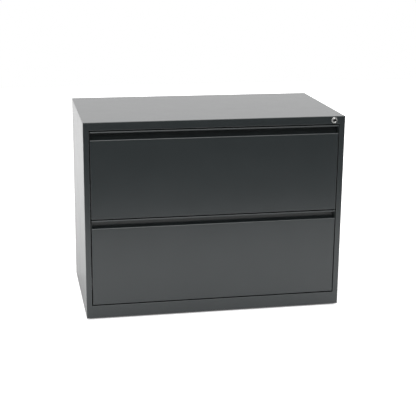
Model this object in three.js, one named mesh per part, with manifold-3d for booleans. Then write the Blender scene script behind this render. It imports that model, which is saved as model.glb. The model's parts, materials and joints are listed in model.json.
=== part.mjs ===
// Two-drawer lateral filing cabinet in folded sheet steel, at full size.
// Millimetres, +Z up. The front faces -Y and the origin is on the floor under the middle of the case.

import * as THREE from 'three';
import { mergeVertices } from 'three/addons/utils/BufferGeometryUtils.js';
import Module from 'manifold-3d';

const wasm = await Module();
wasm.setup();

// Case
const CASE_WIDTH = 914;
const CASE_DEPTH = 508;
const CASE_HEIGHT = 695;
const CASE_SHEET = 1;
const STILE_WIDTH = 19.5;
const HEADER_HEIGHT = 28;
const BASE_RAIL_HEIGHT = 45;
const FRAME_RETURN = 18;
const RETURN_LIP = 9;
const SEAM_FLANGE = 20;
const STIFFENER = 12;

// Clearances
const SEAT = 0.3;
const REVEAL = 4;
const SIDE_REVEAL = 3;
const SLIDE_CLEARANCE = 1;
const REAR_CLEARANCE = 50;

// Folded sheet
const BEND_RADIUS = 1;
const BEND_STEPS = 3;

// Levelling glides and base
const GLIDE_REVEAL = 6;
const GLIDE_INSET_X = 60;
const GLIDE_INSET_Y = 40;
const GLIDE_FOOT_RADIUS = 16;
const GLIDE_STEM_RADIUS = 4.5;
const GLIDE_STEM_LENGTH = 34;
const GLIDE_BOSS_RADIUS = 9;
const GLIDE_BOSS_HEIGHT = 12;
const PAN_LAP = 10;
const BALLAST_INSET = 57;
const BALLAST_DEPTH = 90;
const BALLAST_HEIGHT = 32;

// Uprights that carry the slides
const UPRIGHT_SHEET = 1.5;
const UPRIGHT_WEB = 26;
const UPRIGHT_FOOT = 12;
const UPRIGHT_GAP = 6;
const UPRIGHT_REAR_INSET = 84;

// Drawer fronts and their full-width recessed pulls
const FRONT_SHEET = 0.9;
const PULL_HEIGHT = 28.5;
const PULL_DEPTH = 24;
const PULL_LIP = 5;
const PULL_LIP_RETURN = 6;
const PULL_EDGE = 6;
const PULL_TROUGH = 12;

// Drawer bodies
const DRAWER_SHEET = 0.9;
const FLOOR_RISE = 14;
const SIDE_HEIGHT = 210;
const SIDE_HEM = 12;
const SIDE_HEM_DROP = 8;
const RAIL_SHEET = 1.2;
const RAIL_WIDTH = 14;
const RAIL_HEIGHT = 15;
const RAIL_INSET = 20;

// Telescopic slides, three members each with two ball cages between them
const SLIDE_SHEET = 1.4;
const SLIDE_HEIGHT = 46;
const SLIDE_WIDTH = 12.7;
const SLIDE_RISE = 70;
const SLIDE_TRAVEL = 400;
const SLIDE_FLANGE = 10;
const RACE_GAP = 2.8;
const WEB_GAP = 2.2;
const CAGE_SHEET = 1;
const CAGE_MARGIN = 15;

// Lock and its vertical bar
const LOCK_INSET = 40;
const LOCK_BODY_RADIUS = 9;
const LOCK_BEZEL_RADIUS = 10.5;
const LOCK_BEZEL_PROUD = 2.5;
const LOCK_PLUG_RADIUS = 6.5;
const LOCK_TAIL = 1;
const KEYWAY_WIDTH = 1.4;
const KEYWAY_HEIGHT = 8;
const KEYWAY_DEPTH = 4;
const CLIP_SHEET = 1.2;
const CAM_THICKNESS = 2;
const CAM_HALF_WIDTH = 4;
const CAM_GAP = 1.5;
const CAM_PIN_ORBIT = 8.5;
const CAM_PIN_RADIUS = 2;
const CAM_SLOT_CLEARANCE = 0.5;
const BAR_THICKNESS = 3;
const BAR_CLEARANCE = 2;
const BAR_TAIL = 40;
const ARM_WALL = 3;
const FINGER_HEIGHT = 10;
const FINGER_GAP = 2;
const HOOK_RISE = 150;
const HOOK_HEIGHT = 15;
const HOOK_LENGTH = 22;
const HOOK_SHEET = 1.5;
const HOOK_CLEARANCE = 1.2;
const GUIDE_SHEET = 1;
const GUIDE_HEIGHT = 16;
const GUIDE_REACH = 8;
const GUIDE_DROP = 60;

const ROUND_STEPS = 20;
const FOOT_STEPS = 16;

// Places worked out from the sizes above
const HALF_WIDTH = CASE_WIDTH / 2;
const FRONT_Y = -CASE_DEPTH / 2;
const BACK_Y = CASE_DEPTH / 2;
const CASE_BOTTOM = GLIDE_REVEAL;
const CASE_TOP = GLIDE_REVEAL + CASE_HEIGHT;
const WALL_FACE_X = HALF_WIDTH - CASE_SHEET;
const OPENING_X = HALF_WIDTH - STILE_WIDTH;
const RAIL_END_X = OPENING_X - SEAT;
const BACK_PANEL_Y = BACK_Y - CASE_SHEET - SEAT;

const FRONT_WIDTH = 2 * (OPENING_X - SIDE_REVEAL);
const FRONT_HEIGHT = (CASE_HEIGHT - HEADER_HEIGHT - BASE_RAIL_HEIGHT - 3 * REVEAL) / 2;
const FACE_TOP = FRONT_HEIGHT - PULL_HEIGHT;
const LINER_Y = PULL_DEPTH + SEAT;
const BODY_Y = LINER_Y + FRONT_SHEET + SEAT;
const BODY_DEPTH = CASE_DEPTH - BODY_Y - REAR_CLEARANCE;
const BODY_END_Y = BODY_Y + BODY_DEPTH;

const SLIDE_X = OPENING_X - SLIDE_CLEARANCE;
const SIDE_FACE_X = SLIDE_X - SLIDE_WIDTH - SEAT;
const FLOOR_Z = FLOOR_RISE + DRAWER_SHEET + SEAT;
const SIDE_TOP_Z = FLOOR_RISE + SIDE_HEIGHT;

const PAN_FRONT_Y = FRONT_Y + GLIDE_INSET_Y + GLIDE_BOSS_RADIUS + SEAT;
const PAN_BACK_Y = BACK_PANEL_Y - CASE_SHEET - SEAT - GLIDE_INSET_Y - GLIDE_BOSS_RADIUS - SEAT;
const PAN_TOP_Z = CASE_BOTTOM + 2 * CASE_SHEET + SEAT;

const BAR_FRONT_Y = FRONT_Y + BODY_Y + BAR_CLEARANCE;
const BAR_BACK_Y = BAR_FRONT_Y + BAR_THICKNESS;
const BAR_OUTER_X = WALL_FACE_X - SEAT - GUIDE_SHEET - BEND_RADIUS;
const BAR_INNER_X = SLIDE_X + SLIDE_CLEARANCE + SIDE_REVEAL;
const HOOK_Y = BAR_BACK_Y + HOOK_CLEARANCE;
const CAM_BACK_Y = BAR_FRONT_Y - CAM_GAP;
const CAM_FRONT_Y = CAM_BACK_Y - CAM_THICKNESS;
const LOCK_END_Y = CAM_FRONT_Y - SEAT - LOCK_TAIL;
const LOCK_X = HALF_WIDTH - LOCK_INSET;
const LOCK_Z = CASE_TOP - HEADER_HEIGHT / 2;
const LOCK_REST_ANGLE = -Math.PI / 4;
const PIN_X = LOCK_X + CAM_PIN_ORBIT * Math.cos(LOCK_REST_ANGLE);
const PIN_Z = LOCK_Z + CAM_PIN_ORBIT * Math.sin(LOCK_REST_ANGLE);

const SIDES = { left: -1, right: 1 };
const ENDS = { front: -1, rear: 1 };
const DRAWERS = { lower: 0, upper: 1 };

const PAINT = { color: 0x3b3d3f, roughness: 0.42, metalness: 0.1 };
const ZINC = { color: 0xb9bcbc, roughness: 0.35, metalness: 0.9 };
const CHROME = { color: 0xdcdcd8, roughness: 0.12, metalness: 1 };
const CAST = { color: 0x2c2c2b, roughness: 0.8, metalness: 0.3 };
const POLYMER = { color: 0x1c1c1c, roughness: 0.6, metalness: 0 };

const ALONG_X = new THREE.Vector3(1, 0, 0);
const ALONG_Y = new THREE.Vector3(0, 1, 0);
const ALONG_Z = new THREE.Vector3(0, 0, 1);
const TURNS = {
  x: new THREE.Matrix4().makeBasis(ALONG_Y, ALONG_Z, ALONG_X),
  y: new THREE.Matrix4().makeBasis(ALONG_X, ALONG_Z, ALONG_Y.clone().negate()),
  z: new THREE.Matrix4(),
};

// Carries a closed outline along one axis. Outlines are (y, z) along x, (x, z) along y and (x, y) along z.
function extrude(outline, axis, from, to) {
  const shape = new THREE.Shape(outline);
  const geometry = new THREE.ExtrudeGeometry(shape, { depth: to - from, bevelEnabled: false, steps: 1 });
  geometry.translate(0, 0, axis === 'y' ? -to : from);
  return geometry.applyMatrix4(TURNS[axis]);
}

// Section of a folded sheet: a strip of one thickness centred on a line of fold points, round at each fold.
function foldedStrip(corners, thickness) {
  const half = thickness / 2;
  const neutral = BEND_RADIUS + half;
  const points = corners.map(([u, v]) => new THREE.Vector2(u, v));
  const heading = (a, b) => b.clone().sub(a).normalize();
  const normal = (d) => new THREE.Vector2(-d.y, d.x);
  const left = [];
  const right = [];
  const put = (point, across) => {
    left.push(point.clone().addScaledVector(across, half));
    right.unshift(point.clone().addScaledVector(across, -half));
  };
  put(points[0], normal(heading(points[0], points[1])));
  for (let i = 1; i < points.length - 1; i += 1) {
    const before = heading(points[i - 1], points[i]);
    const after = heading(points[i], points[i + 1]);
    const turn = Math.atan2(before.cross(after), before.dot(after));
    const reach = Math.sign(turn) * neutral;
    const setback = neutral * Math.tan(Math.abs(turn) / 2);
    const bendStart = points[i].clone().addScaledVector(before, -setback);
    const centre = bendStart.addScaledVector(normal(before), reach);
    for (let k = 0; k <= BEND_STEPS; k += 1) {
      const across = normal(before).rotateAround(new THREE.Vector2(), (turn * k) / BEND_STEPS);
      put(centre.clone().addScaledVector(across, -reach), across);
    }
  }
  const last = points.length - 1;
  put(points[last], normal(heading(points[last - 1], points[last])));
  return [...left, ...right];
}

// Strip with round ends between two points, for a cam or a slot.
function stadium([u0, v0], [u1, v1], radius) {
  const angle = Math.atan2(v1 - v0, u1 - u0);
  const shape = new THREE.Shape();
  shape.absarc(u0, v0, radius, angle + Math.PI / 2, angle + (3 * Math.PI) / 2);
  shape.absarc(u1, v1, radius, angle - Math.PI / 2, angle + Math.PI / 2);
  return shape.getPoints(BEND_STEPS * 2).slice(0, -1);
}

function box([x0, x1], [y0, y1], [z0, z1]) {
  const geometry = new THREE.BoxGeometry(x1 - x0, y1 - y0, z1 - z0);
  return geometry.translate((x0 + x1) / 2, (y0 + y1) / 2, (z0 + z1) / 2);
}

// Same spans with x mirrored for the left-hand side.
function sidedSpan(side, inner, outer) {
  return side > 0 ? [inner, outer] : [-outer, -inner];
}

// Turned piece about a line along +Y through (x, z).
function turnedAboutY(profile, x, z) {
  const points = profile.map(([r, y]) => new THREE.Vector2(r, y));
  return new THREE.LatheGeometry(points, ROUND_STEPS).translate(x, 0, z);
}

// Turned piece about a line along +Z through (x, y).
function turnedAboutZ(profile, x, y) {
  const points = profile.map(([r, z]) => new THREE.Vector2(r, z));
  return new THREE.LatheGeometry(points, FOOT_STEPS).rotateX(Math.PI / 2).translate(x, y, 0);
}

function cylinderZ(radius, x, y, from, to) {
  return turnedAboutZ([[0, from], [radius, from], [radius, to], [0, to]], x, y);
}

function toManifold(geometry) {
  const bare = geometry.clone();
  bare.deleteAttribute('normal');
  bare.deleteAttribute('uv');
  const merged = mergeVertices(bare);
  return new wasm.Manifold(new wasm.Mesh({
    numProp: 3,
    vertProperties: new Float32Array(merged.attributes.position.array),
    triVerts: new Uint32Array(merged.index.array),
  }));
}

function toGeometry(manifold) {
  const mesh = manifold.getMesh();
  const geometry = new THREE.BufferGeometry();
  geometry.setAttribute('position', new THREE.BufferAttribute(mesh.vertProperties, 3));
  geometry.setIndex(new THREE.BufferAttribute(mesh.triVerts, 1));
  geometry.computeVertexNormals();
  return geometry;
}

function join(...geometries) {
  return toGeometry(geometries.map(toManifold).reduce((all, next) => all.add(next)));
}

function cut(base, ...tools) {
  return toGeometry(tools.map(toManifold).reduce((left, tool) => left.subtract(tool), toManifold(base)));
}

function addPiece(parent, name, geometry, finish) {
  const mesh = new THREE.Mesh(geometry, new THREE.MeshStandardMaterial(finish));
  mesh.name = name;
  parent.add(mesh);
}

// Side of the case: outer wall, front stile with its folded return, and a seam flange at the back.
function sidePanel(side) {
  const half = CASE_SHEET / 2;
  const returnX = OPENING_X + half;
  const returnY = FRONT_Y + FRAME_RETURN - half;
  const corners = [
    [returnX + RETURN_LIP, returnY],
    [returnX, returnY],
    [returnX, FRONT_Y + half],
    [HALF_WIDTH - half, FRONT_Y + half],
    [HALF_WIDTH - half, BACK_Y - half],
    [HALF_WIDTH - SEAM_FLANGE, BACK_Y - half],
  ].map(([x, y]) => [side * x, y]);
  return extrude(foldedStrip(corners, CASE_SHEET), 'z', CASE_BOTTOM, CASE_TOP - CASE_SHEET - SEAT);
}

// Top of the case: the header folds down in front, a seam flange behind, and flanges inside both walls.
function topPanel() {
  const half = CASE_SHEET / 2;
  const corners = [
    [FRONT_Y + FRAME_RETURN, CASE_TOP - HEADER_HEIGHT + half],
    [FRONT_Y + half, CASE_TOP - HEADER_HEIGHT + half],
    [FRONT_Y + half, CASE_TOP - half],
    [BACK_Y - half, CASE_TOP - half],
    [BACK_Y - half, CASE_TOP - SEAM_FLANGE],
  ];
  const endX = Math.min(RAIL_END_X, HALF_WIDTH - SEAM_FLANGE - SEAT);
  const middle = extrude(foldedStrip(corners, CASE_SHEET), 'x', -endX, endX);
  const plateZ = [CASE_TOP - CASE_SHEET, CASE_TOP];
  const bend = BEND_RADIUS + CASE_SHEET;
  const edges = Object.values(SIDES).flatMap((side) => [
    box(sidedSpan(side, endX - SEAM_FLANGE, HALF_WIDTH), [FRONT_Y + bend, BACK_Y - bend], plateZ),
    box(sidedSpan(side, endX, HALF_WIDTH), [FRONT_Y, BACK_Y], plateZ),
    box(
      sidedSpan(side, WALL_FACE_X - SEAT - CASE_SHEET, WALL_FACE_X - SEAT),
      [FRONT_Y + FRAME_RETURN + SEAT, BACK_PANEL_Y - CASE_SHEET - STIFFENER],
      [CASE_TOP - SEAM_FLANGE, CASE_TOP],
    ),
  ]);
  const lockHole = turnedAboutY(
    [[0, FRONT_Y - CASE_SHEET], [LOCK_BODY_RADIUS + SEAT, FRONT_Y - CASE_SHEET],
      [LOCK_BODY_RADIUS + SEAT, FRONT_Y + 2 * CASE_SHEET], [0, FRONT_Y + 2 * CASE_SHEET]],
    LOCK_X,
    LOCK_Z,
  );
  return cut(join(middle, ...edges), lockHole);
}

// Back of the case, inside the seam flanges, with its own edges turned forward.
function backPanel() {
  const half = CASE_SHEET / 2;
  const edgeX = WALL_FACE_X - SEAT - half;
  const y = BACK_PANEL_Y - half;
  const corners = [
    [-edgeX, y - STIFFENER],
    [-edgeX, y],
    [edgeX, y],
    [edgeX, y - STIFFENER],
  ];
  const top = CASE_TOP - CASE_SHEET - BEND_RADIUS - SEAT;
  return extrude(foldedStrip(corners, CASE_SHEET), 'z', CASE_BOTTOM + SEAT, top);
}

// Base rail: a channel with a threaded boss for each glide in its lower flange.
function baseRail(end) {
  const half = CASE_SHEET / 2;
  const faceY = end < 0 ? FRONT_Y : BACK_PANEL_Y - CASE_SHEET - SEAT;
  const inward = (distance) => faceY - end * distance;
  const lowerFlange = GLIDE_INSET_Y + GLIDE_BOSS_RADIUS + PAN_LAP;
  const corners = [
    [inward(lowerFlange), CASE_BOTTOM + half],
    [inward(half), CASE_BOTTOM + half],
    [inward(half), CASE_BOTTOM + BASE_RAIL_HEIGHT - half],
    [inward(FRAME_RETURN - half), CASE_BOTTOM + BASE_RAIL_HEIGHT - half],
    [inward(FRAME_RETURN - half), CASE_BOTTOM + BASE_RAIL_HEIGHT - RETURN_LIP],
  ];
  const channel = extrude(foldedStrip(corners, CASE_SHEET), 'x', -RAIL_END_X, RAIL_END_X);
  const places = Object.values(SIDES).map((side) => [glideX(side), glideY(end)]);
  const bossTop = CASE_BOTTOM + GLIDE_BOSS_HEIGHT;
  const hole = GLIDE_STEM_RADIUS + SEAT;
  const bosses = places.map(([x, y]) => cylinderZ(GLIDE_BOSS_RADIUS, x, y, CASE_BOTTOM, bossTop));
  const holes = places.map(([x, y]) => cylinderZ(hole, x, y, 0, bossTop + SEAT));
  return cut(join(channel, ...bosses), ...holes);
}

// Closing pan of the case, lapped over the lower flanges of both base rails.
function bottomPan() {
  const half = CASE_SHEET / 2;
  const edgeX = WALL_FACE_X - SEAT - half;
  const z = PAN_TOP_Z - half;
  const corners = [
    [-edgeX, z + SEAM_FLANGE],
    [-edgeX, z],
    [edgeX, z],
    [edgeX, z + SEAM_FLANGE],
  ];
  return extrude(foldedStrip(corners, CASE_SHEET), 'y', PAN_FRONT_Y, PAN_BACK_Y);
}

// Steel weight on the pan, well back, that keeps the case upright with a drawer out.
function ballast() {
  const back = PAN_BACK_Y - PAN_LAP;
  const x = HALF_WIDTH - BALLAST_INSET;
  return box([-x, x], [back - BALLAST_DEPTH, back], [PAN_TOP_Z + SEAT, PAN_TOP_Z + SEAT + BALLAST_HEIGHT]);
}

// Hat-section post on the inside of a wall.
function upright(side, end) {
  const half = UPRIGHT_SHEET / 2;
  const footX = WALL_FACE_X - SEAT - half;
  const webX = SLIDE_X + SEAT + half;
  const reach = UPRIGHT_WEB / 2 + UPRIGHT_FOOT;
  const middleY = end < 0 ? BAR_BACK_Y + UPRIGHT_GAP + reach : BACK_Y - UPRIGHT_REAR_INSET;
  const corners = [
    [footX, -reach],
    [footX, -UPRIGHT_WEB / 2],
    [webX, -UPRIGHT_WEB / 2],
    [webX, UPRIGHT_WEB / 2],
    [footX, UPRIGHT_WEB / 2],
    [footX, reach],
  ].map(([x, y]) => [side * x, middleY + y]);
  const bottom = PAN_TOP_Z + SEAM_FLANGE + SEAT;
  const top = CASE_TOP - SEAM_FLANGE - SEAT;
  return extrude(foldedStrip(corners, UPRIGHT_SHEET), 'z', bottom, top);
}

function glideX(side) {
  return side * (HALF_WIDTH - GLIDE_INSET_X);
}

function glideY(end) {
  return end < 0 ? FRONT_Y + GLIDE_INSET_Y : BACK_PANEL_Y - CASE_SHEET - SEAT - GLIDE_INSET_Y;
}

// Levelling glide: a foot with a chamfered rim on a screwed stem.
function glide(side, end) {
  const footTop = GLIDE_REVEAL - SEAT;
  const chamfer = footTop / 3;
  const profile = [
    [0, 0],
    [GLIDE_FOOT_RADIUS - chamfer, 0],
    [GLIDE_FOOT_RADIUS, chamfer],
    [GLIDE_FOOT_RADIUS, footTop - chamfer],
    [GLIDE_FOOT_RADIUS - chamfer, footTop],
    [GLIDE_STEM_RADIUS, footTop],
    [GLIDE_STEM_RADIUS, footTop + GLIDE_STEM_LENGTH],
    [0, footTop + GLIDE_STEM_LENGTH],
  ];
  return turnedAboutZ(profile, glideX(side), glideY(end));
}

// Lock body: a bezel in front of the header on a tube through it.
function lockHousing() {
  const bore = LOCK_PLUG_RADIUS + SEAT;
  const seatY = FRONT_Y - SEAT;
  const faceY = seatY - LOCK_BEZEL_PROUD;
  const profile = [
    [bore, faceY],
    [LOCK_BEZEL_RADIUS - BEND_RADIUS, faceY],
    [LOCK_BEZEL_RADIUS, faceY + BEND_RADIUS],
    [LOCK_BEZEL_RADIUS, seatY],
    [LOCK_BODY_RADIUS, seatY],
    [LOCK_BODY_RADIUS, LOCK_END_Y],
    [bore, LOCK_END_Y],
    [bore, faceY],
  ];
  return turnedAboutY(profile, LOCK_X, LOCK_Z);
}

// Spring clip that grips the lock body behind the header.
function lockClip() {
  const front = FRONT_Y + CASE_SHEET + SEAT;
  const inner = LOCK_BODY_RADIUS + SEAT;
  const outer = HEADER_HEIGHT / 2 - CASE_SHEET - 2 * SEAT;
  const shape = new THREE.Shape();
  shape.absarc(LOCK_X, LOCK_Z, outer, Math.PI / 2, (3 * Math.PI) / 2);
  shape.lineTo(LOCK_X + outer, LOCK_Z - outer);
  shape.lineTo(LOCK_X + outer, LOCK_Z - inner);
  shape.absarc(LOCK_X, LOCK_Z, inner, (3 * Math.PI) / 2, Math.PI / 2, true);
  shape.lineTo(LOCK_X + outer, LOCK_Z + inner);
  shape.lineTo(LOCK_X + outer, LOCK_Z + outer);
  return extrude(shape.getPoints(BEND_STEPS * 2), 'y', front, front + CLIP_SHEET);
}

// Lock plug with its keyway.
function lockPlug() {
  const faceY = FRONT_Y - LOCK_BEZEL_PROUD;
  const profile = [
    [0, faceY],
    [LOCK_PLUG_RADIUS, faceY],
    [LOCK_PLUG_RADIUS, LOCK_END_Y + LOCK_TAIL],
    [0, LOCK_END_Y + LOCK_TAIL],
  ];
  const keyway = box(
    [LOCK_X - KEYWAY_WIDTH / 2, LOCK_X + KEYWAY_WIDTH / 2],
    [faceY - KEYWAY_DEPTH, faceY + KEYWAY_DEPTH],
    [LOCK_Z - KEYWAY_HEIGHT / 2, LOCK_Z + KEYWAY_HEIGHT / 2],
  );
  return cut(turnedAboutY(profile, LOCK_X, LOCK_Z), keyway);
}

// Cam on the plug's tail, with the pin that lifts the lock bar.
function lockCam() {
  const outline = stadium([LOCK_X, LOCK_Z], [PIN_X, PIN_Z], CAM_HALF_WIDTH);
  const plate = extrude(outline, 'y', CAM_FRONT_Y, CAM_BACK_Y);
  const pinFrom = CAM_FRONT_Y + CAM_THICKNESS / 2;
  const pinTo = BAR_BACK_Y + SEAT;
  const profile = [
    [0, pinFrom],
    [CAM_PIN_RADIUS, pinFrom],
    [CAM_PIN_RADIUS, pinTo],
    [0, pinTo],
  ];
  return join(plate, turnedAboutY(profile, PIN_X, PIN_Z));
}

function drawerBottomZ(level) {
  return CASE_BOTTOM + BASE_RAIL_HEIGHT + REVEAL + level * (FRONT_HEIGHT + REVEAL);
}

// Lock bar: a strip beside the right wall, slotted at its top for the cam pin, with a finger per drawer.
function lockBar() {
  const spanY = [BAR_FRONT_Y, BAR_BACK_Y];
  const slotRadius = CAM_PIN_RADIUS + CAM_SLOT_CLEARANCE;
  const slotEnd = LOCK_X + CAM_PIN_ORBIT;
  const armHalf = slotRadius + ARM_WALL;
  const bottom = drawerBottomZ(DRAWERS.lower) + HOOK_RISE - BAR_TAIL;
  const arm = box([PIN_X - armHalf, BAR_OUTER_X], spanY, [PIN_Z - armHalf, PIN_Z + armHalf]);
  const strip = box([BAR_INNER_X, BAR_OUTER_X], spanY, [bottom, PIN_Z]);
  const fingers = Object.values(DRAWERS).map((level) => {
    const top = drawerBottomZ(level) + HOOK_RISE - FINGER_GAP;
    return box([SLIDE_X - SLIDE_WIDTH / 2, BAR_INNER_X + SIDE_REVEAL], spanY, [top - FINGER_HEIGHT, top]);
  });
  const slotOutline = stadium([PIN_X, PIN_Z], [slotEnd, PIN_Z], slotRadius);
  const slot = extrude(slotOutline, 'y', BAR_FRONT_Y - SEAT, BAR_BACK_Y + SEAT);
  return cut(join(strip, arm, ...fingers), slot);
}

// Bracket on the right wall that the lock bar runs in.
function barGuide(middleZ) {
  const half = GUIDE_SHEET / 2;
  const webX = WALL_FACE_X - SEAT - half;
  const frontY = BAR_FRONT_Y - SEAT - half;
  const backY = BAR_BACK_Y + SEAT + half;
  const corners = [
    [webX - GUIDE_REACH, frontY],
    [webX, frontY],
    [webX, backY],
    [webX - GUIDE_REACH, backY],
  ];
  const bottom = middleZ - GUIDE_HEIGHT / 2;
  return extrude(foldedStrip(corners, GUIDE_SHEET), 'z', bottom, bottom + GUIDE_HEIGHT);
}

// Drawer front in one folded sheet. From the bottom flange it runs up the face, over the pull's edge, down
// into the trough, up the back of the recess and forward to the lip. Plates close both ends. They take the
// sheet's own outer line, up to the fold at the face's top (the 2nd) and from the lip's (the 8th) to the 6th.
function drawerFront() {
  const half = FRONT_SHEET / 2;
  const trough = FACE_TOP - PULL_TROUGH + half;
  const lip = FRONT_HEIGHT - PULL_LIP + half;
  const corners = [
    [PULL_DEPTH, half],
    [half, half],
    [half, FACE_TOP - half],
    [PULL_EDGE - half, FACE_TOP - half],
    [PULL_EDGE - half, trough],
    [PULL_DEPTH - half, trough],
    [PULL_DEPTH - half, FRONT_HEIGHT - half],
    [half, FRONT_HEIGHT - half],
    [half, lip],
    [PULL_LIP_RETURN, lip],
  ];
  const strip = foldedStrip(corners, FRONT_SHEET);
  const fold = BEND_STEPS + 1;
  const plate = [...strip.slice(0, 1 + 2 * fold), ...strip.slice(-1 - 8 * fold, -1 - 5 * fold)];
  const plateX = FRONT_WIDTH / 2;
  const sheetX = plateX - FRONT_SHEET;
  return join(
    extrude(strip, 'x', -sheetX, sheetX),
    extrude(plate, 'x', -plateX, -sheetX),
    extrude(plate, 'x', sheetX, plateX),
  );
}

// Flat inner panel that closes the back of a drawer front.
function drawerLiner() {
  const x = FRONT_WIDTH / 2 - SEAT;
  return box([-x, x], [LINER_Y, LINER_Y + FRONT_SHEET], [SEAT, FRONT_HEIGHT - REVEAL]);
}

// Drawer floor and back in one sheet, from the liner to a hem along the top of the back.
function drawerTray() {
  const half = DRAWER_SHEET / 2;
  const z = FLOOR_Z + half;
  const top = SIDE_TOP_Z - SIDE_HEM_DROP - SIDE_HEM / 2;
  const corners = [
    [BODY_Y, z],
    [BODY_END_Y - half, z],
    [BODY_END_Y - half, top],
    [BODY_END_Y - STIFFENER, top],
  ];
  const x = SIDE_FACE_X - DRAWER_SHEET - BEND_RADIUS;
  return extrude(foldedStrip(corners, DRAWER_SHEET), 'x', -x, x);
}

// Drawer side with a flange under the floor and a hem along the top.
function drawerSide(side) {
  const half = DRAWER_SHEET / 2;
  const x = SIDE_FACE_X - half;
  const corners = [
    [x - STIFFENER, FLOOR_RISE + half],
    [x, FLOOR_RISE + half],
    [x, SIDE_TOP_Z - half],
    [x - SIDE_HEM, SIDE_TOP_Z - half],
    [x - SIDE_HEM, SIDE_TOP_Z - SIDE_HEM_DROP],
  ].map(([u, z]) => [side * u, z]);
  return extrude(foldedStrip(corners, DRAWER_SHEET), 'y', BODY_Y, BODY_END_Y);
}

// Rail across the drawer sides that hanging folders hook onto.
function hangRail(end) {
  const half = RAIL_SHEET / 2;
  const y = end < 0 ? BODY_Y + RAIL_INSET : BODY_END_Y - RAIL_INSET;
  const bottom = SIDE_TOP_Z + SEAT;
  const top = bottom + RAIL_HEIGHT - half;
  const reach = RAIL_WIDTH / 2 - half;
  const corners = [
    [y - reach, bottom],
    [y - reach, top],
    [y + reach, top],
    [y + reach, bottom],
  ];
  return extrude(foldedStrip(corners, RAIL_SHEET), 'x', -SIDE_FACE_X, SIDE_FACE_X);
}

// Catch on the right drawer side that the lock bar's finger blocks.
function lockHook() {
  const half = HOOK_SHEET / 2;
  const x = SIDE_FACE_X + SEAT + half;
  const y = HOOK_Y - FRONT_Y + half;
  const corners = [
    [x, y + HOOK_LENGTH],
    [x, y],
    [SLIDE_X - SLIDE_CLEARANCE, y],
  ];
  return extrude(foldedStrip(corners, HOOK_SHEET), 'z', HOOK_RISE, HOOK_RISE + HOOK_HEIGHT);
}

// Channel section of one slide member or ball cage, from its web to the tips of both flanges.
function channel(side, webX, tipX, halfHeight, sheet, [from, to]) {
  const corners = [
    [tipX, SLIDE_RISE + halfHeight],
    [webX, SLIDE_RISE + halfHeight],
    [webX, SLIDE_RISE - halfHeight],
    [tipX, SLIDE_RISE - halfHeight],
  ].map(([x, z]) => [side * x, z]);
  return extrude(foldedStrip(corners, sheet), 'y', from, to);
}

// The five nested channels of one slide, from the wall inwards.
function slideMembers(side) {
  const half = SLIDE_SHEET / 2;
  const step = SLIDE_SHEET + RACE_GAP;
  const outerHalf = SLIDE_HEIGHT / 2 - half;
  const middleHalf = outerHalf - step;
  const innerHalf = middleHalf - step;
  const outerWeb = SLIDE_X - half;
  const middleWeb = outerWeb - SLIDE_SHEET - WEB_GAP;
  const innerTip = middleWeb - half - WEB_GAP;
  const innerWeb = SLIDE_X - SLIDE_WIDTH + half;
  const tip = SLIDE_X - SLIDE_FLANGE;
  const span = [BODY_Y, BODY_END_Y];
  const cageEnd = SLIDE_TRAVEL / 4 + CAGE_MARGIN;
  const cageSpan = [BODY_Y + cageEnd, BODY_END_Y - cageEnd];
  const outerCageWeb = (outerWeb + middleWeb) / 2;
  const outerCageHalf = (outerHalf + middleHalf) / 2;
  const innerCageWeb = (middleWeb + innerTip - half) / 2;
  const innerCageHalf = (middleHalf + innerHalf) / 2;
  return {
    cabinet: channel(side, outerWeb, tip, outerHalf, SLIDE_SHEET, span),
    cage_outer: channel(side, outerCageWeb, tip, outerCageHalf, CAGE_SHEET, cageSpan),
    middle: channel(side, middleWeb, tip, middleHalf, SLIDE_SHEET, span),
    cage_inner: channel(side, innerCageWeb, tip, innerCageHalf, CAGE_SHEET, cageSpan),
    drawer: channel(side, innerWeb, innerTip, innerHalf, SLIDE_SHEET, span),
  };
}

function addCase(parent) {
  addPiece(parent, 'top_panel', topPanel(), PAINT);
  addPiece(parent, 'back_panel', backPanel(), PAINT);
  addPiece(parent, 'bottom_pan', bottomPan(), PAINT);
  addPiece(parent, 'counterweight', ballast(), CAST);
  for (const [sideName, side] of Object.entries(SIDES)) {
    addPiece(parent, `side_panel_${sideName}`, sidePanel(side), PAINT);
    for (const [endName, end] of Object.entries(ENDS)) {
      addPiece(parent, `upright_${endName}_${sideName}`, upright(side, end), ZINC);
      addPiece(parent, `glide_${endName}_${sideName}`, glide(side, end), POLYMER);
    }
  }
  for (const [endName, end] of Object.entries(ENDS)) {
    addPiece(parent, `base_rail_${endName}`, baseRail(end), PAINT);
  }
}

function addLock(parent) {
  addPiece(parent, 'lock_housing', lockHousing(), CHROME);
  addPiece(parent, 'lock_clip', lockClip(), ZINC);
  addPiece(parent, 'lock_plug', lockPlug(), CHROME);
  addPiece(parent, 'lock_cam', lockCam(), ZINC);
  addPiece(parent, 'lock_bar', lockBar(), ZINC);
  for (const [name, level] of Object.entries(DRAWERS)) {
    const middleZ = drawerBottomZ(level) + FRONT_HEIGHT - GUIDE_DROP;
    addPiece(parent, `lock_bar_guide_${name}`, barGuide(middleZ), ZINC);
  }
}

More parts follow.
